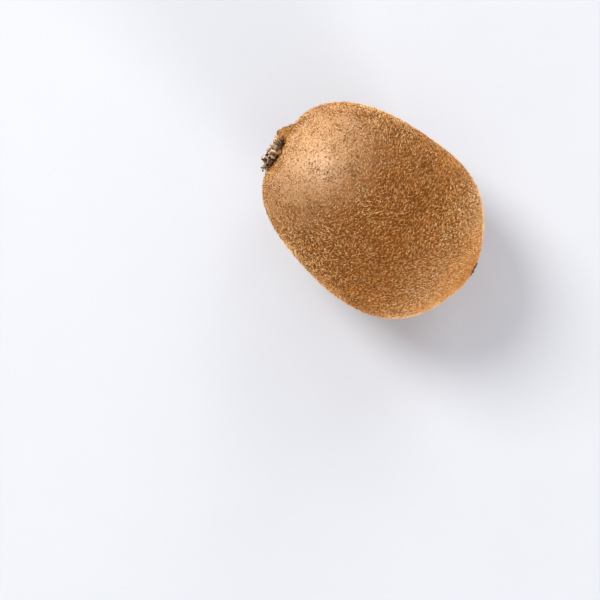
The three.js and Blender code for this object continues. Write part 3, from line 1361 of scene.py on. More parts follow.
DRY_STYLES = StrandFinish(
    name="dry_styles",
    dark=(0.014, 0.006, 0.003),
    middle=(0.045, 0.019, 0.009),
    pale=(0.11, 0.048, 0.022),
    patches=(0.03, 0.012, 0.006),
    patch_size=0.8,
    root_shade=0.8,
    roughness=0.8,
    specular=0.15,
)
DRY_SEPAL = HuskFinish(
    name="dry_sepal",
    grey=(0.50, 0.40, 0.29),
    brown=(0.46, 0.19, 0.045),
    dark=(0.08, 0.035, 0.014),
)
DRY_STALK = HuskFinish(
    name="dry_stalk",
    grey=(0.32, 0.205, 0.12),
    brown=(0.16, 0.085, 0.04),
    dark=(0.05, 0.028, 0.016),
    vein_count=6,
)
DRY_DISC = HuskFinish(
    name="dry_disc",
    grey=(0.03, 0.017, 0.011),
    brown=(0.018, 0.010, 0.006),
    dark=(0.008, 0.004, 0.003),
)


# ---- The skin and its fuzz


@dataclass(frozen=True)
class WearAndHighlight:
    """Where the fuzz is worn thin: a worn shoulder, and less of it all round the stalk. The skin is
    painted paler by the same numbers, and the shoulder lies where the highlight falls, so that its pale
    colour is partly a painted highlight.

    Attributes:
        form: The fruit's form.
        shoulder: The middle of the worn shoulder in the solids' frame, in mm; it lies where the
            highlight is painted.
        shoulder_reach: From there, where the wear starts to fade and where it ends. A start under
            0 leaves some fuzz in the very middle.
        stalk_reach: The same along the fruit from the stalk end.
        stalk_share: How far the fuzz is worn round the stalk.
    """

    form: FruitForm
    shoulder: tuple[float, float, float] = (-22, 3, 41)
    shoulder_reach: tuple[float, float] = (-3, 25)
    stalk_reach: tuple[float, float] = (5, 24)
    stalk_share: float = 0.45

    def at(self, places: Roots) -> Array:
        """How far the fuzz is worn, which the skin also paints as a pale shoulder that is partly a
        painted highlight.

        Args:
            places: Places on the skin.

        Returns:
            From 0 to 1 for each place.
        """
        away = np.linalg.norm(places.points - np.array(self.shoulder), axis=-1)
        spot = 1 - ease(away, *self.shoulder_reach)
        stalk = self.stalk_share * (1 - ease(places.x, *self.stalk_reach))
        return spot + (1 - spot) * stalk


@dataclass(frozen=True)
class Skin:
    """The skin from pole to pole, with its fine lumps, flat where it rests.

    Attributes:
        form: The fruit's form.
        sides: Facets round it.
        rings: Rings of facets along it.
        lumps: Its fine lumps, and how far each kind stands up in mm.
        amber_from: From the stalk end, where the painted warm rim light starts and where it is full.
    """

    form: FruitForm
    sides: int = 300
    rings: int = 200
    lumps: tuple[tuple[Drift, float], ...] = ((Drift(11, 3.2), 0.06), (Drift(12, 1.1), 0.025))
    amber_from: tuple[float, float] = (56, 67)

    def build(self) -> list[bpy.types.Object]:
        """Builds the skin, which is the fruit's visible body.

        Returns:
            The one piece.
        """
        share = np.linspace(0, 1, self.rings + 2)[1:-1, None]
        angle = 2 * np.pi * np.arange(self.sides) / self.sides
        places = Roots.at(self.form, share, angle[None])
        height = sum(depth * lumps.at(places.points) for lumps, depth in self.lumps)
        rings = places.points + height[..., None] * places.out
        rings[..., 2] = np.maximum(rings[..., 2], 0)
        poles = [self.form.point(np.array(end), np.array(0.0)) for end in (0.0, 1.0)]
        shape = Shape()
        # Painted warm rim light towards the blossom end.
        amber = ease(places.x, *self.amber_from) * np.ones(self.sides)
        # The worn shoulder's pale colour is partly a painted highlight.
        shape.loft(rings, *poles, rubbed=WearAndHighlight(self.form).at(places), amber=amber)
        return [worn(shape.made("skin", SkinFinish().material()), replaces="fruit")]


@dataclass(frozen=True)
class HairSizes:
    """What one kind of hair measures, in mm.

    Attributes:
        count: How many hairs there are.
        pieces: How many pieces they are spread over.
        length: Shortest and longest.
        width: Thinnest and thickest at the root.
        rise: How far its tip lies over the skin, lowest and highest.
        joints: How many points its middle line has.
        bend: The most that it bends aside, in radians.
        stray: How far it strays from its neighbours' heading, in radians.
    """

    count: int
    pieces: int
    length: tuple[float, float]
    width: tuple[float, float]
    rise: tuple[float, float]
    joints: int
    bend: float
    stray: float


class Hair(Enum):
    """The kinds of hair on the skin."""

    BRISTLE = HairSizes(
        count=52000,
        pieces=3,
        length=(0.55, 1.3),
        width=(0.16, 0.26),
        rise=(0.2, 0.65),
        joints=3,
        bend=1.3,
        stray=0.5,
    )
    DOWN = HairSizes(
        count=30000,
        pieces=1,
        length=(0.4, 0.95),
        width=(0.09, 0.15),
        rise=(0.08, 0.34),
        joints=2,
        bend=0.0,
        stray=0.9,
    )


@dataclass(frozen=True)
class Fuzz:
    """The short hairs that lie in swirls over the skin, as closed strands.

    Attributes:
        form: The fruit's form.
        seed: What its random draws start from.
        sink: How deep a hair's root lies in the skin in mm.
        clear_of_stalk: Radius round the stalk that no hair grows in.
        clear_of_styles: Radius round the styles that no hair grows in.
        clear_of_table: Height over the table that no hair grows under.
        over_table: The least gap between a hair and the table.
        backwards: The share of hairs that lie against the others.
        swirl: The noise that turns neighbouring hairs together.
        swirl_angle: How far it turns them, in degrees.
        near_stalk: From the stalk end, where the hairs stop lying as they do there, start and end.
        near_styles: Where they start to lie as they do at the styles, start and end.
        lean: Degrees that they lie towards the stalk, and how much more near the styles.
        swing: The same up one side and down the other, and more near the stalk and the styles.
        tip_width: How thick a hair still is where it starts to come to a point, as a share.
        thinned: How short the hairs are where the fuzz is worn most, as a share.
        tones: The two numbers of the spread of the hairs' tones.
        tone_stray: How far a tone strays from that.
        tone_along: How much paler the hairs are at places along the fruit: painted shade over the
            middle, and painted light near the shoulder and towards the blossom-end rim.
        contrast_along: How far apart their tones are at places along the fruit.
        worn_off: The share of the hairs that are gone where the fuzz is worn most.
    """

    form: FruitForm
    seed: int = 52
    sink: float = 0.06
    clear_of_stalk: float = 3.9
    clear_of_styles: float = 2.5
    clear_of_table: float = 0.2
    over_table: float = 0.01
    backwards: float = 0.25
    swirl: Drift = Drift(31, 4.0)
    swirl_angle: float = 24
    near_stalk: tuple[float, float] = (10, 26)
    near_styles: tuple[float, float] = (45, 57)
    lean: tuple[float, float] = (-10, -10)
    swing: tuple[float, float, float] = (36, 75, -29)
    tip_width: float = 0.7
    thinned: float = 0.6
    tones: tuple[float, float] = (0.7, 0.62)
    tone_stray: float = 0.12
    # Painted light and shade along the fruit: darker over the middle, paler near the shoulder and much
    # paler at the blossom-end rim.
    tone_along: tuple[tuple[float, float], ...] = (
        (0, 0.02),
        (22, 0.08),
        (34, -0.02),
        (43, -0.09),
        (50, 0.04),
        (56, 0.33),
        (62, 0.31),
        (66.5, -0.05),
    )
    contrast_along: tuple[tuple[float, float], ...] = (
        (20, 1.25),
        (34, 0.88),
        (46, 0.76),
        (62, 0.78),
        (66, 0.5),
    )
    worn_off: float = 0.4

    def build(self) -> list[bpy.types.Object]:
        """Builds the fuzz.

        Returns:
            A few pieces for each kind of hair.
        """
        material = FUZZ.material()
        apart = 10  # between the seeds of two pieces
        made = []
        for kind in Hair:
            sizes = kind.value
            places = self.roots(sizes, self.seed)
            for number in range(sizes.pieces):
                name = f"fuzz_{kind.name.lower()}_{number + 1}"
                own = places.chosen(slice(number, None, sizes.pieces))
                strands = self.strands(sizes, own, self.seed + apart * len(made))
                made.append(worn(strands.shape().made(name, material)))
        return made

    def roots(self, sizes: HairSizes, seed: int) -> Roots:
        """Spreads the hairs over the skin, clear of both ends and of the flat spot.

        Args:
            sizes: The kind of hair.
            seed: What the draws start from.

        Returns:
            Their roots.
        """
        places = Roots.spread(self.form, sizes.count, seed)
        origin = self.form.origin()
        from_stalk = np.linalg.norm(places.points - origin - self.form.stalk_end, axis=1)
        from_styles = np.linalg.norm(places.points - origin - self.form.blossom_end, axis=1)
        clear = (from_stalk > self.clear_of_stalk) & (from_styles > self.clear_of_styles)
        return places.chosen(clear & (places.points[:, 2] > self.clear_of_table))

    def heading(self, places: Roots) -> Array:
        """The way that the hairs lie at each place.

        Args:
            places: The hairs' roots.

        Returns:
            Radians from the girth towards the stalk end.
        """
        near_stalk = 1 - ease(places.x, *self.near_stalk)
        near_styles = ease(places.x, *self.near_styles)
        lean, styles_lean = self.lean
        swing, stalk_swing, styles_swing = self.swing
        lean = lean + styles_lean * near_styles
        swing = swing + stalk_swing * near_stalk + styles_swing * near_styles
        swirl = self.swirl_angle * self.swirl.at(places.points)
        return np.radians(lean + swing * np.cos(places.angle) + swirl)

    def strands(self, sizes: HairSizes, places: Roots, seed: int) -> Strands:
        """Grows one piece's hairs.

        Args:
            sizes: The kind of hair.
            places: Their roots.
            seed: What the draws start from.

        Returns:
            The hairs.
        """
        draw = np.random.default_rng(seed)
        worn_away = self.worn_off * WearAndHighlight(self.form).at(places)
        places = places.chosen(draw.random(len(worn_away)) > worn_away)
        count = len(places.points)
        turned = np.pi * (draw.random(count) < self.backwards)
        heading = self.heading(places) + turned + draw.normal(0, sizes.stray, count)
        bend = draw.uniform(-sizes.bend, sizes.bend, count)
        whole = 1 - (1 - self.thinned) * WearAndHighlight(self.form).at(places)
        stout = 0.5 + 0.5 * whole  # worn hairs are half as much thinner and lower as they are shorter
        length = draw.uniform(*sizes.length, count) * whole
        low, high = sizes.rise
        rise = (low + (high - low) * draw.random(count) ** 2) * stout
        tone = np.clip(draw.beta(*self.tones, count) + draw.normal(0, self.tone_stray, count), 0, 1)
        tone = 0.5 + (tone - 0.5) * np.interp(places.x, *zip(*self.contrast_along))
        # Painted light and shade: tones are shifted paler or darker by place along the fruit.
        tone = np.clip(tone + np.interp(places.x, *zip(*self.tone_along)), 0, 1)
        lines = self.lines(places, heading, bend, length, rise, sizes.joints)
        taper = np.linspace(1, self.tip_width, sizes.joints - 1)
        half = draw.uniform(*sizes.width, (count, 1)) / 2 * taper * stout[:, None]
        lowest = np.c_[half, np.zeros(count)] + self.over_table
        lines[..., 2] = np.maximum(lines[..., 2], lowest)
        return Strands(lines, half, places.out[:, None], tone)

    def lines(
        self, places: Roots, heading: Array, bend: Array, length: Array, rise: Array, joints: int
    ) -> Array:
        """The hairs' middle lines, which rise from the skin and then follow it.

        Args:
            places: Their roots.
            heading: The way that each lies.
            bend: How far each bends aside.
            length: How long each is.
            rise: How far each tip lies over the skin.
            joints: How many points each has.

        Returns:
            The lines, (count, joints, 3).
        """
        share = np.linspace(0, 1, joints)
        middles = (share[1:] + share[:-1]) / 2
        way = heading[:, None] + bend[:, None] * (middles - 0.5)
        steps = np.cos(way)[..., None] * places.girth[:, None]
        steps = steps - np.sin(way)[..., None] * places.length[:, None]
        run = np.cumsum(steps, axis=1) * (length / (joints - 1))[:, None, None]
        run = np.concatenate([np.zeros_like(run[:, :1]), run], axis=1)
        lift = rise[:, None] * (1 - (1 - share) ** 2) - self.sink * (1 - share)
        falls = (length[:, None] * share) ** 2 / self.form.width
        return places.points[:, None] + run + (lift - falls)[..., None] * places.out[:, None]


# ---- The stalk end


@dataclass(frozen=True)
class Sepal:
    """One withered sepal, in mm and degrees.

    Attributes:
        angle: Round the stalk from +Y upwards.
        reach: From the stalk's middle to its tip.
        width: Its greatest width.
        crest: The height of its crest over the skin.
        tip: The height of its tip.
        lean: How far its tip leans aside.
        turn: How far its face turns about its length.
        cup: How far its edges bend towards the skin.
        tone: From 0, weathered grey, to 1, orange-brown.
        fur: How many hairs it has.
    """

    angle: float
    reach: float
    width: float
    crest: float
    tip: float
    lean: float
    turn: float
    cup: float
    tone: float
    fur: int


@dataclass(frozen=True)
class Calyx:
    """The woody receptacle with the broken stalk, and the five withered sepals round it.

    Attributes:
        form: The fruit's form.
        up: Degrees that its face is turned upwards.
        aside: Degrees that it is turned towards -Y.
        sepals: The sepals.
        sepal_root: Where a sepal starts inside the receptacle, its radius and height.
        shoulder: Where it leaves the receptacle, its radius and height.
        crest_at: Where its crest is, as a share of its reach.
        thickness: How thick it is.
        thin_ends: How thick it is at both ends, as a share of that.
        lean_at: The share of its lean that it has at the shoulder and at the crest.
        wave: How far its width waves, as a share, and how fast along it in radians.
        neck: How wide its neck is, as a share, and where along it the neck starts and ends.
        narrowing: How much narrower its outer half gets.
        bluntness: The power that rounds its outline; smaller is blunter.
        veins: How far its veins stand up, as a share of its thickness, and how many there are.
        crumple: The noise that crumples it.
        crumple_depth: How far it is crumpled.
        crumple_over: Where along it that starts and is full.
        fray: The noise that frays its edges.
        fray_depth: How far they are frayed.
        fur_length: Shortest and longest hair on it.
        fur_rise: How far a hair's middle lies over it, least and most.
        fur_half: Half a hair's width, least and most.
        fur_tip: Half a hair's width where it starts to come to a point, as a share of the root's.
        fur_sink: How deep a hair's root lies in it.
        fur_stray: How far a hair strays from the sepal's own way, in radians.
        fur_tone: The tone of its hairs where the sepal's is 0, and how much paler where it is 1.
        fur_tone_stray: How far a hair's tone strays from that.
        dark_edge: How much darker the hairs at its edges are, as painted shade where it meets the skin.
        steps: Rings of facets along a sepal.
        sides: Facets round it.
        lathe: The receptacle and the stalk, from inside the fruit to the pith.
        ribs: How far the ribs of the receptacle stand up, and how many there are.
        lumps: The noise that makes it lumpy.
        lump_height: How far the lumps stand up.
        broken_from: The heights between which the stalk turns from whole to broken.
        breaks: The noise of the broken face.
        break_depth: How rough it is.
        break_slope: How far it slopes.
        weathered: The heights between which it turns from brown to weathered.
        seed: What the draws of the fur start from.
    """

    form: FruitForm
    up: float = 13
    aside: float = 3.5
    sepals: tuple[Sepal, ...] = (
        Sepal(15, 10.0, 5.6, 1.5, 0.2, -0.6, -38, 0.04, tone=1.0, fur=1500),
        Sepal(84, 6.4, 2.6, 1.1, 0.3, 0.3, 10, 0.05, tone=0.9, fur=360),
        Sepal(160, 5.4, 3.6, 1.5, 1.0, -0.8, -18, -0.05, tone=0.2, fur=160),
        Sepal(233, 7.6, 4.4, 1.7, 0.9, 0.9, 12, 0.04, tone=0.6, fur=600),
        Sepal(305, 7.2, 4.8, 1.7, 1.2, -0.5, -10, -0.04, tone=0.7, fur=700),
    )
    sepal_root: tuple[float, float] = (1.2, 0.9)
    shoulder: tuple[float, float] = (3.1, 1.8)
    crest_at: float = 0.53
    thickness: float = 0.52
    thin_ends: float = 0.55
    lean_at: tuple[float, float] = (0.1, 0.4)
    wave: tuple[float, float] = (0.1, 9)
    neck: tuple[float, float, float] = (0.7, 0.1, 0.5)
    narrowing: float = 0.5
    bluntness: float = 0.6
    veins: tuple[float, float] = (0.22, 9)
    crumple: Drift = Drift(71, 1.1)
    crumple_depth: float = 0.2
    crumple_over: tuple[float, float] = (0.2, 0.5)
    fray: Drift = Drift(84, 0.5)
    fray_depth: float = 0.13
    fur_length: tuple[float, float] = (0.35, 0.85)
    fur_rise: tuple[float, float] = (0.02, 0.16)
    fur_half: tuple[float, float] = (0.025, 0.045)
    fur_tip: float = 0.75
    fur_sink: float = 0.04
    fur_stray: float = 0.5
    fur_tone: tuple[float, float] = (0.3, 0.5)
    fur_tone_stray: float = 0.2
    dark_edge: float = 0.95
    steps: int = 54
    sides: int = 40
    lathe: Lathe = Lathe(
        profile=(
            (2.3, -0.9),
            (2.6, 0.1),
            (3.1, 0.7),
            (3.15, 1.3),
            (2.6, 1.95),
            (1.9, 2.1),
            (1.7, 2.3),
            (1.72, 2.65),
            (1.45, 2.78),
            (0.9, 2.66),
            (0.58, 2.5),
            (0.42, 2.2),
        ),
        steps=44,
        sides=64,
        past=(-0.1, -0.1),
    )
    ribs: tuple[float, int] = (0.09, 11)
    lumps: Drift = Drift(84, 0.9)
    lump_height: float = 0.11
    broken_from: tuple[float, float] = (1.9, 2.6)
    breaks: Drift = Drift(93, 0.8)
    break_depth: float = 0.3
    break_slope: float = 0.12
    weathered: tuple[float, float] = (1.4, 2.6)
    seed: int = 84

    @property
    def frame(self) -> EndFrame:
        """The frame that it is built in."""
        return EndFrame(self.form.stalk_end + self.form.origin(), self.up - 90, self.aside)

    def build(self) -> list[bpy.types.Object]:
        """Builds the stalk with its receptacle, the sepals and their fur.

        Returns:
            The pieces in that order.
        """
        husk = DRY_SEPAL.material()
        stalk = self.stalk().made("stalk_stub", DRY_STALK.material())
        made = [worn(stalk, replaces="calyx")]
        furs = []
        for number, sepal in enumerate(self.sepals, start=1):
            rings, line = self.sheet(sepal)
            ends = self.frame.out(line[[0, -1]])
            across = np.cos(self.round_it())[None]
            shape = Shape()
            shape.loft(self.frame.out(rings), *ends, across=across, tone=sepal.tone)
            made.append(worn(shape.made(f"sepal_{number}", husk)))
            furs.append(self.fur(sepal, rings, self.seed + number))
        fur = Strands(*(np.concatenate(parts) for parts in zip(*furs)))
        made.append(worn(fur.shape().made("sepal_fur", SEPAL_FUR.material())))
        return made

    def stalk(self) -> Shape:
        """Shapes the receptacle and the broken stalk.

        Returns:
            Both in one skin.
        """
        rings = self.lathe.rings()
        least_flare = 0.2
        flare = np.clip(rings[:, :1, 0] / self.shoulder[0], least_flare, 1)
        height, count = self.ribs
        ribs = height * np.cos(count * self.lathe.turn()) * flare
        raised = ribs + self.lump_height * self.lumps.at(rings)
        wider = 1 + raised / self.shoulder[0]
        rings *= wider[..., None] * np.array([1, 1, 0]) + np.array([0, 0, 1])
        rough = self.break_depth * self.breaks.at(rings) - self.break_slope * rings[..., 0]
        rings[..., 2] += ease(rings[..., 2], *self.broken_from) * rough
        weathered = ease(rings[..., 2], *self.weathered)
        return self.lathe.shape(self.frame, rings, 1 - weathered)

    def round_it(self) -> Array:
        """Returns the angles of a sepal's sides."""
        return 2 * np.pi * np.arange(self.sides) / self.sides

    def sheet(self, sepal: Sepal) -> tuple[Array, Array]:
        """A sepal's skin in the end's own frame.

        Args:
            sepal: The sepal.

        Returns:
            Its rings of points, (steps, sides, 3), and its middle line.
        """
        bearing = math.radians(sepal.angle)
        shoulder_lean, crest_lean = (share * sepal.lean for share in self.lean_at)
        corners = [
            around(bearing, *self.sepal_root),
            around(bearing, *self.shoulder, shoulder_lean),
            around(bearing, self.crest_at * sepal.reach, sepal.crest, crest_lean),
            around(bearing, sepal.reach, sepal.tip, sepal.lean),
        ]
        line = curve_through(np.array(corners), self.steps + 2)
        along = unit(np.gradient(line, axis=0))[1:-1]
        roll = math.radians(sepal.turn)
        across = around(bearing, 0, math.sin(roll), math.cos(roll))
        side = unit(across - (along @ across)[:, None] * along)
        face = np.cross(along, side)
        share = np.linspace(0, 1, self.steps + 2)[1:-1]
        depth, speed = self.wave
        waved = 1 + depth * np.sin(speed * share + sepal.angle)
        neck, starts, ends = self.neck
        taper = neck + (1 - neck) * ease(share, starts, ends)
        taper = taper * (1 - self.narrowing * ease(share, 0.5, 1))
        wide = sepal.width / 2 * np.sin(np.pi * share) ** self.bluntness * taper * waved
        c, s = np.cos(self.round_it()), np.sin(self.round_it())
        aside = wide[:, None] * c
        thick = self.thin_ends + (1 - self.thin_ends) * np.sin(np.pi * share)
        height, count = self.veins
        veins = 1 + height * np.cos(count * np.pi * c) * (1 - c**2)
        deep = self.thickness / 2 * thick[:, None] * s * veins + sepal.cup * aside**2
        rings = line[1:-1, None] + aside[..., None] * side[:, None] + deep[..., None] * face[:, None]
        full = ease(share, *self.crumple_over)[:, None]
        fold = self.crumple_depth * self.crumple.at(rings) * full
        edge = c**8 * np.sign(c)
        frayed = self.fray_depth * self.fray.at(rings) * edge
        rings += fold[..., None] * face[:, None] + frayed[..., None] * side[:, None]
        return rings, line

    def fur(self, sepal: Sepal, rings: Array, seed: int) -> tuple[Array, Array, Array, Array]:
        """Short hairs on a sepal, from all over its outer face.

        Args:
            sepal: The sepal.
            rings: Its rings of points in the end's own frame.
            seed: What the draws start from.

        Returns:
            The hairs' lines, half widths, upper sides and tones.
        """
        draw = np.random.default_rng(seed)
        bare = self.steps // 4  # rings near the root that no hair grows on
        over = 3  # sides past each edge of the outer face that hairs still grow on
        row = draw.integers(bare, self.steps - 1, sepal.fur)
        column = draw.integers(self.sides // 2 - over, self.sides + over, sepal.fur) % self.sides
        root = rings[row, column]
        along = unit(rings[row + 1, column] - rings[row - 1, column])
        across = unit(rings[row, (column + 1) % self.sides] - rings[row, column - 1])
        out = np.cross(across, along)
        stray = draw.normal(0, self.fur_stray, sepal.fur)[:, None]
        way = unit(along * np.cos(stray) + across * np.sin(stray))
        length = draw.uniform(*self.fur_length, (sepal.fur, 1))
        rise = draw.uniform(*self.fur_rise, (sepal.fur, 1))
        bend, sag = 0.25, 0.9  # how far a tip bends on, and its height for the middle's
        middle = root + 0.5 * length * way + rise * out
        tip = root + length * unit(way + bend * stray * across) + sag * rise * out
        lines = np.stack([root - self.fur_sink * out, middle, tip], axis=1)
        half = draw.uniform(*self.fur_half, (sepal.fur, 1)) * np.array([1, self.fur_tip])
        # Painted shade: hairs near the sepal's edges, where it meets the skin, are made darker.
        edge = np.cos(self.round_it()[column]) ** 4
        least, more = self.fur_tone
        tone = least + more * sepal.tone - self.dark_edge * edge
        tone = np.clip(tone + draw.normal(0, self.fur_tone_stray, sepal.fur), 0, 1)
        turn = self.frame.turn().T
        return self.frame.out(lines), half, (out @ turn)[:, None], tone


@dataclass(frozen=True)
class Curls:
    """A draw of dry, curled strands that stand round an end of the fruit, in mm.

    Attributes:
        count: How many there are.
        root: Nearest and furthest root from the end's axis.
        height: Lowest and highest crest over the root.
        reach: Least and most that a strand leans outwards.
        curl: Smallest and largest radius of its curl.
        turns: Fewest and most turns of its curl.
        width: Thinnest and thickest.
        tone: Darkest and palest; most strands are close to one or the other.
        flatness: How thick a strand is for its width.
        droop: How much lower the strands on the end's underside stand, as a share.
        joints: How many points a strand's middle line has.
        onset: How fast it rises to its crest, and how late it leans outwards.
        twist: The most that a curl's plane is turned, in radians.
        stray: How far a strand's tip strays aside.
        nod: How far its tip hangs down at most.
        lowest: The lowest that any of it comes, as a share of its root's height.
        taper: How much thinner it gets towards its tip.
        tones: The two numbers of the spread of the tones.
    """

    count: int
    root: tuple[float, float]
    height: tuple[float, float]
    reach: tuple[float, float]
    curl: tuple[float, float]
    turns: tuple[float, float]
    width: tuple[float, float]
    tone: tuple[float, float]
    flatness: float = 1.0
    droop: float = 0.0
    joints: int = 17
    onset: float = 1.3
    twist: float = 1.2
    stray: float = 0.5
    nod: float = 0.5
    lowest: float = 0.8
    taper: float = 0.35
    tones: tuple[float, float] = (0.55, 0.45)

    def strands(self, frame: EndFrame, bearings: Array, floor: float, seed: int) -> Strands:
        """Grows the strands.

        Args:
            frame: The frame of the end that they stand on.
            bearings: Where each stands round the end's axis, (count,).
            floor: The height of their roots over the skin.
            seed: What the draws start from.

        Returns:
            The strands.
        """
        draw = np.random.default_rng(seed)
        column = (self.count, 1)
        bearings = bearings[:, None]
        share = np.linspace(0, 1, self.joints)
        start = draw.uniform(0, 2 * np.pi, column)
        phase = start + 2 * np.pi * draw.uniform(*self.turns, column) * share
        curl = draw.uniform(*self.curl, column) * np.sqrt(share)
        root = draw.uniform(*self.root, column)
        radius = root + draw.uniform(*self.reach, column) * share**self.onset
        risen = np.sin(np.minimum(share * self.onset, 1) * np.pi / 2)
        rise = draw.uniform(*self.height, column) * risen
        rise *= 1 - self.droop * (1 - np.sin(bearings)) / 2
        twist = draw.uniform(-self.twist, self.twist, column)
        aside = draw.normal(0, self.stray, column) * share
        z = floor + rise - draw.uniform(0, self.nod, column) * share**3
        spine = around(bearings, radius, z, aside)
        level = np.cos(phase)
        out = around(bearings, np.cos(twist) * level, np.sin(phase), np.sin(twist) * level)
        points = spine + curl[..., None] * out
        points[..., 2] = np.maximum(points[..., 2], self.lowest * floor)
        half = draw.uniform(*self.width, column) / 2 * (1 - self.taper * share[:-1])
        up = out[:, :-1] @ frame.turn().T
        dark, pale = self.tone
        tone = dark + (pale - dark) * draw.beta(*self.tones, self.count)
        return Strands(frame.out(points), half, up, tone, sides=6, flatness=self.flatness)


@dataclass(frozen=True)
class Stamens:
    """The dried stamens that stand between the sepals, and the shrivelled anthers on some of them.

    Attributes:
        calyx: The calyx that they stand round.
        kinds: The fine filaments and the coarse matted ones.
        floor: The height of their roots over the skin.
        fan: The share of the gap between two sepals that they fill.
        crowding: How full the gap after each sepal is, as a share of the whole.
        anthers: How many filaments still have an anther.
        anther_length: Shortest and longest anther.
        anther_half: Half its width, thinnest and thickest.
        anther_tone: Its darkest and palest tone.
        seed: What the random draws start from.
    """

    calyx: Calyx
    kinds: tuple[Curls, ...] = (
        Curls(
            count=110,
            root=(2.9, 4.8),
            height=(0.5, 1.7),
            reach=(0.2, 1.8),
            curl=(0.1, 0.4),
            turns=(0.6, 1.8),
            width=(0.14, 0.24),
            # These dark tones are partly painted shade: the fine filaments fill the gaps below the pale
            # matted ones.
            tone=(0.0, 0.3),
        ),
        Curls(
            count=60,
            root=(2.7, 4.6),
            height=(1.3, 3.6),
            reach=(0.0, 1.5),
            curl=(0.5, 1.15),
            turns=(0.4, 0.9),
            width=(0.6, 1.0),
            tone=(0.05, 1.0),
            flatness=0.3,
            droop=0.75,
        ),
    )
    floor: float = 0.6
    fan: float = 0.75
    crowding: tuple[float, ...] = (0.34, 0.34, 0.18, 0.07, 0.07)
    anthers: int = 46
    anther_length: tuple[float, float] = (0.5, 0.85)
    anther_half: tuple[float, float] = (0.14, 0.22)
    anther_tone: tuple[float, float] = (0, 0.3)
    seed: int = 911

    def build(self) -> list[bpy.types.Object]:
        """Builds the filaments and the anthers.

        Returns:
            The fine filaments, the matted ones and the anthers.
        """
        material = DRY_STAMENS.material()
        draw = np.random.default_rng(self.seed)
        made = []
        for number, (name, kind) in enumerate(zip(("filaments", "matted_filaments"), self.kinds)):
            bearings = self.bearings(kind.count, draw)
            strands = kind.strands(self.calyx.frame, bearings, self.floor, self.seed + number)
            made.append(worn(strands.shape().made(name, material)))
            if number == 0:  # only the fine ones still have anthers
                tips = self.tips(strands, draw)
        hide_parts("stamens")
        made.append(worn(tips.shape().made("anthers", material)))
        return made

    def bearings(self, count: int, draw: np.random.Generator) -> Array:
        """Where strands stand round the stalk.

        Args:
            count: How many there are.
            draw: What the draws come from.

        Returns:
            Radians from +Y upwards.
        """
        angles = np.array([sepal.angle for sepal in self.calyx.sepals])
        spans = (np.roll(angles, -1) - angles) % 360
        gap = draw.choice(len(angles), count, p=self.crowding)
        share = 0.5 + self.fan * draw.uniform(-0.5, 0.5, count)
        return np.radians(angles[gap] + spans[gap] * share)

    def tips(self, strands: Strands, draw: np.random.Generator) -> Strands:
        """The anthers, as small dark lumps on the filaments' tips.

        Args:
            strands: The filaments.
            draw: What the draws come from.

        Returns:
            The anthers.
        """
        chosen = draw.choice(len(strands.lines), self.anthers, replace=False)
        start = strands.lines[chosen, -2]
        way = unit(strands.lines[chosen, -1] - start)
        length = draw.uniform(*self.anther_length, (self.anthers, 1, 1))
        joints, least, bluntness = 7, 0.05, 0.7
        share = np.linspace(0, 1, joints)
        lines = start[:, None] + way[:, None] * length * share[:, None]
        bulge = least + np.sin(np.pi * share[:-1]) ** bluntness
        half = draw.uniform(*self.anther_half, (self.anthers, 1)) * bulge
        tone = draw.uniform(*self.anther_tone, self.anthers)
        return Strands(lines, half, strands.up[chosen, -1:], tone, sides=7)


# ---- The blossom end


@dataclass(frozen=True)
class Styles:
    """The dark rosette of withered styles at the blossom end.

    Attributes:
        form: The fruit's form.
        aside: Degrees that its face is turned towards +Y.
        curls: The styles.
        floor: The height of their roots over the skin.
        disc: The woody disc that they grow from.
        lumps: The noise that makes it lumpy.
        lump_height: How far the lumps stand up.
        seed: What the random draws start from.
    """

    form: FruitForm
    aside: float = 5
    curls: Curls = Curls(
        count=46,
        root=(0.1, 0.9),
        height=(0.1, 0.75),
        reach=(0.8, 2.4),
        curl=(0.05, 0.25),
        turns=(0.4, 1.2),
        width=(0.18, 0.32),
        tone=(0.1, 0.9),
    )
    floor: float = 0.55
    disc: Lathe = Lathe(
        profile=((1.1, -0.8), (1.3, 0.0), (1.5, 0.45), (1.1, 0.72), (0.4, 0.85)),
        steps=18,
        sides=40,
        past=(-0.1, 0.05),
    )
    lumps: Drift = Drift(41, 0.5)
    lump_height: float = 0.09
    seed: int = 41

    def build(self) -> list[bpy.types.Object]:
        """Builds the disc and the styles.

        Returns:
            The two pieces.
        """
        frame = EndFrame(self.form.blossom_end + self.form.origin(), 90, self.aside)
        bearings = 2 * np.pi * np.arange(self.curls.count) / self.curls.count
        strands = self.curls.strands(frame, bearings, self.floor, self.seed)
        disc = self.disc_shape(frame).made("style_disc", DRY_DISC.material())
        styles = strands.shape().made("withered_styles", DRY_STYLES.material())
        return [worn(disc), worn(styles, replaces="styles")]

    def disc_shape(self, frame: EndFrame) -> Shape:
        """Shapes the disc.

        Args:
            frame: The frame of the blossom end.

        Returns:
            Its lumpy skin.
        """
        rings = self.disc.rings()
        rings += self.lump_height * self.lumps.at(rings)[..., None]
        return self.disc.shape(frame, rings, 0.5)


# ---- The studio


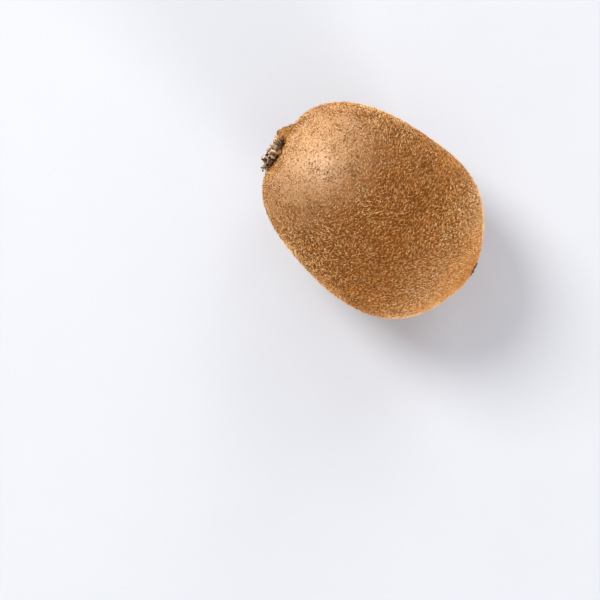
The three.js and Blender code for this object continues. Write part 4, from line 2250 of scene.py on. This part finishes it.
@dataclass(frozen=True)
class SoftLight:
    """A round soft light that faces the fruit.

    Attributes:
        name: Its name.
        azimuth: Degrees from +X towards +Y that it stands at.
        elevation: Degrees over the table.
        across: Its diameter in metres.
        power: In watts.
        colour: Its colour.
        distance: From the fruit in metres.
    """

    name: str
    azimuth: float
    elevation: float
    across: float
    power: float
    colour: Colour = (1.0, 1.0, 1.0)
    distance: float = 2.4

    def build(self, target: Vector) -> None:
        """Sets up the light.

        Args:
            target: What it faces, in metres.
        """
        light = bpy.data.lights.new(self.name, "AREA")
        light.shape = "DISK"
        light.size = self.across
        light.energy = self.power
        light.color = self.colour
        made = bpy.data.objects.new(self.name, light)
        made.visible_camera = False
        azimuth, elevation = math.radians(self.azimuth), math.radians(self.elevation)
        level = math.cos(elevation)
        way = Vector((level * math.cos(azimuth), level * math.sin(azimuth), math.sin(elevation)))
        made.location = target + self.distance * way
        made.rotation_euler = way.to_track_quat("Z", "Y").to_euler()
        bpy.context.collection.objects.link(made)


@dataclass(frozen=True)
class Studio:
    """The pale table, the soft lights and the camera.

    Attributes:
        table_size: The table's side in metres.
        lights: The soft lights.
        sky: The colour of the even light from all round.
        sky_strength: How strong it is.
        view_x: Where the camera looks straight down, in mm.
        view_y: The same along Y.
        view_turn: Degrees that the camera is turned about the upright.
        view_height: Height of the camera over the table in mm.
        lens: Focal length in mm on a 36 mm sensor.
        sees: The nearest and the furthest that the camera sees, in metres.
    """

    table_size: float = 4.0
    lights: tuple[SoftLight, ...] = (
        SoftLight("key_light", 171, 42, across=1.1, power=54, colour=(1.0, 0.985, 0.935)),
        SoftLight("shoulder_light", 140, 24, across=0.7, power=4, colour=(1.0, 0.985, 0.935)),
        SoftLight("far_side_light", -24, 4, across=1.0, power=110),
        SoftLight("near_side_light", -95, 4, across=1.0, power=10),
        SoftLight("side_light", 98, 28, across=1.2, power=15, colour=(0.95, 0.975, 1.0)),
        SoftLight("upper_rim_light", 112, 4, across=0.9, power=26, colour=(0.95, 0.975, 1.0)),
        SoftLight("left_rim_light", 190, 5, across=0.9, power=12, colour=(0.95, 0.975, 1.0)),
    )
    sky: Colour = (0.93, 0.96, 1.0)
    sky_strength: float = 0.56
    view_x: float = -3.546
    view_y: float = -33.098
    view_turn: float = 31.55
    view_height: float = 435.7
    lens: float = 85
    sees: tuple[float, float] = (0.01, 20)

    def build(self) -> None:
        """Sets up the table, the lights and the camera."""
        self.table()
        low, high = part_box("fruit")
        for light in self.lights:
            light.build((low + high) / 2)
        world = bpy.data.worlds.new("even_light")
        world.use_nodes = True
        background = world.node_tree.nodes["Background"]
        background.inputs["Color"].default_value = tint(self.sky)
        background.inputs["Strength"].default_value = self.sky_strength
        bpy.context.scene.world = world
        bpy.context.scene.view_settings.view_transform = "Standard"
        self.camera()

    def table(self) -> None:
        """Lays the table."""
        half = self.table_size / 2 / MM
        corners = [(-half, -half, 0), (half, -half, 0), (half, half, 0), (-half, half, 0)]
        shape = Shape()
        shape.add(np.array(corners, float), [np.array([[0, 1, 2, 3]])])
        shape.made("table", TableFinish().material())

    def camera(self) -> None:
        """Sets up the camera, which looks straight down."""
        camera = bpy.data.cameras.new("camera")
        camera.lens = self.lens
        camera.clip_start, camera.clip_end = self.sees
        made = bpy.data.objects.new("camera", camera)
        made.location = Vector((self.view_x, self.view_y, self.view_height)) * MM
        made.rotation_euler = (0, 0, math.radians(self.view_turn))
        bpy.context.collection.objects.link(made)
        bpy.context.scene.camera = made


# ---- The whole


def triangles(made: bpy.types.Object) -> int:
    """Counts an object's triangles.

    Args:
        made: The object.

    Returns:
        How many its mesh has.
    """
    sizes = np.empty(len(made.data.polygons), dtype=np.int32)
    made.data.polygons.foreach_get("loop_total", sizes)
    return int((sizes - 2).sum())


def main() -> None:
    """Builds the fruit's pieces in order and the studio round them."""
    logging.basicConfig(level=logging.INFO, format="%(message)s")
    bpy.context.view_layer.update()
    form = FruitForm()
    calyx = Calyx(form)
    total = 0
    for assembly in (Skin(form), Fuzz(form), calyx, Stamens(calyx), Styles(form)):
        for piece in assembly.build():
            count = triangles(piece)
            total += count
            LOG.info("%s: %s, %d triangles", type(assembly).__name__, piece.name, count)
    LOG.info("%d triangles in all", total)
    Studio().build()


if __name__ == "__main__":
    main()
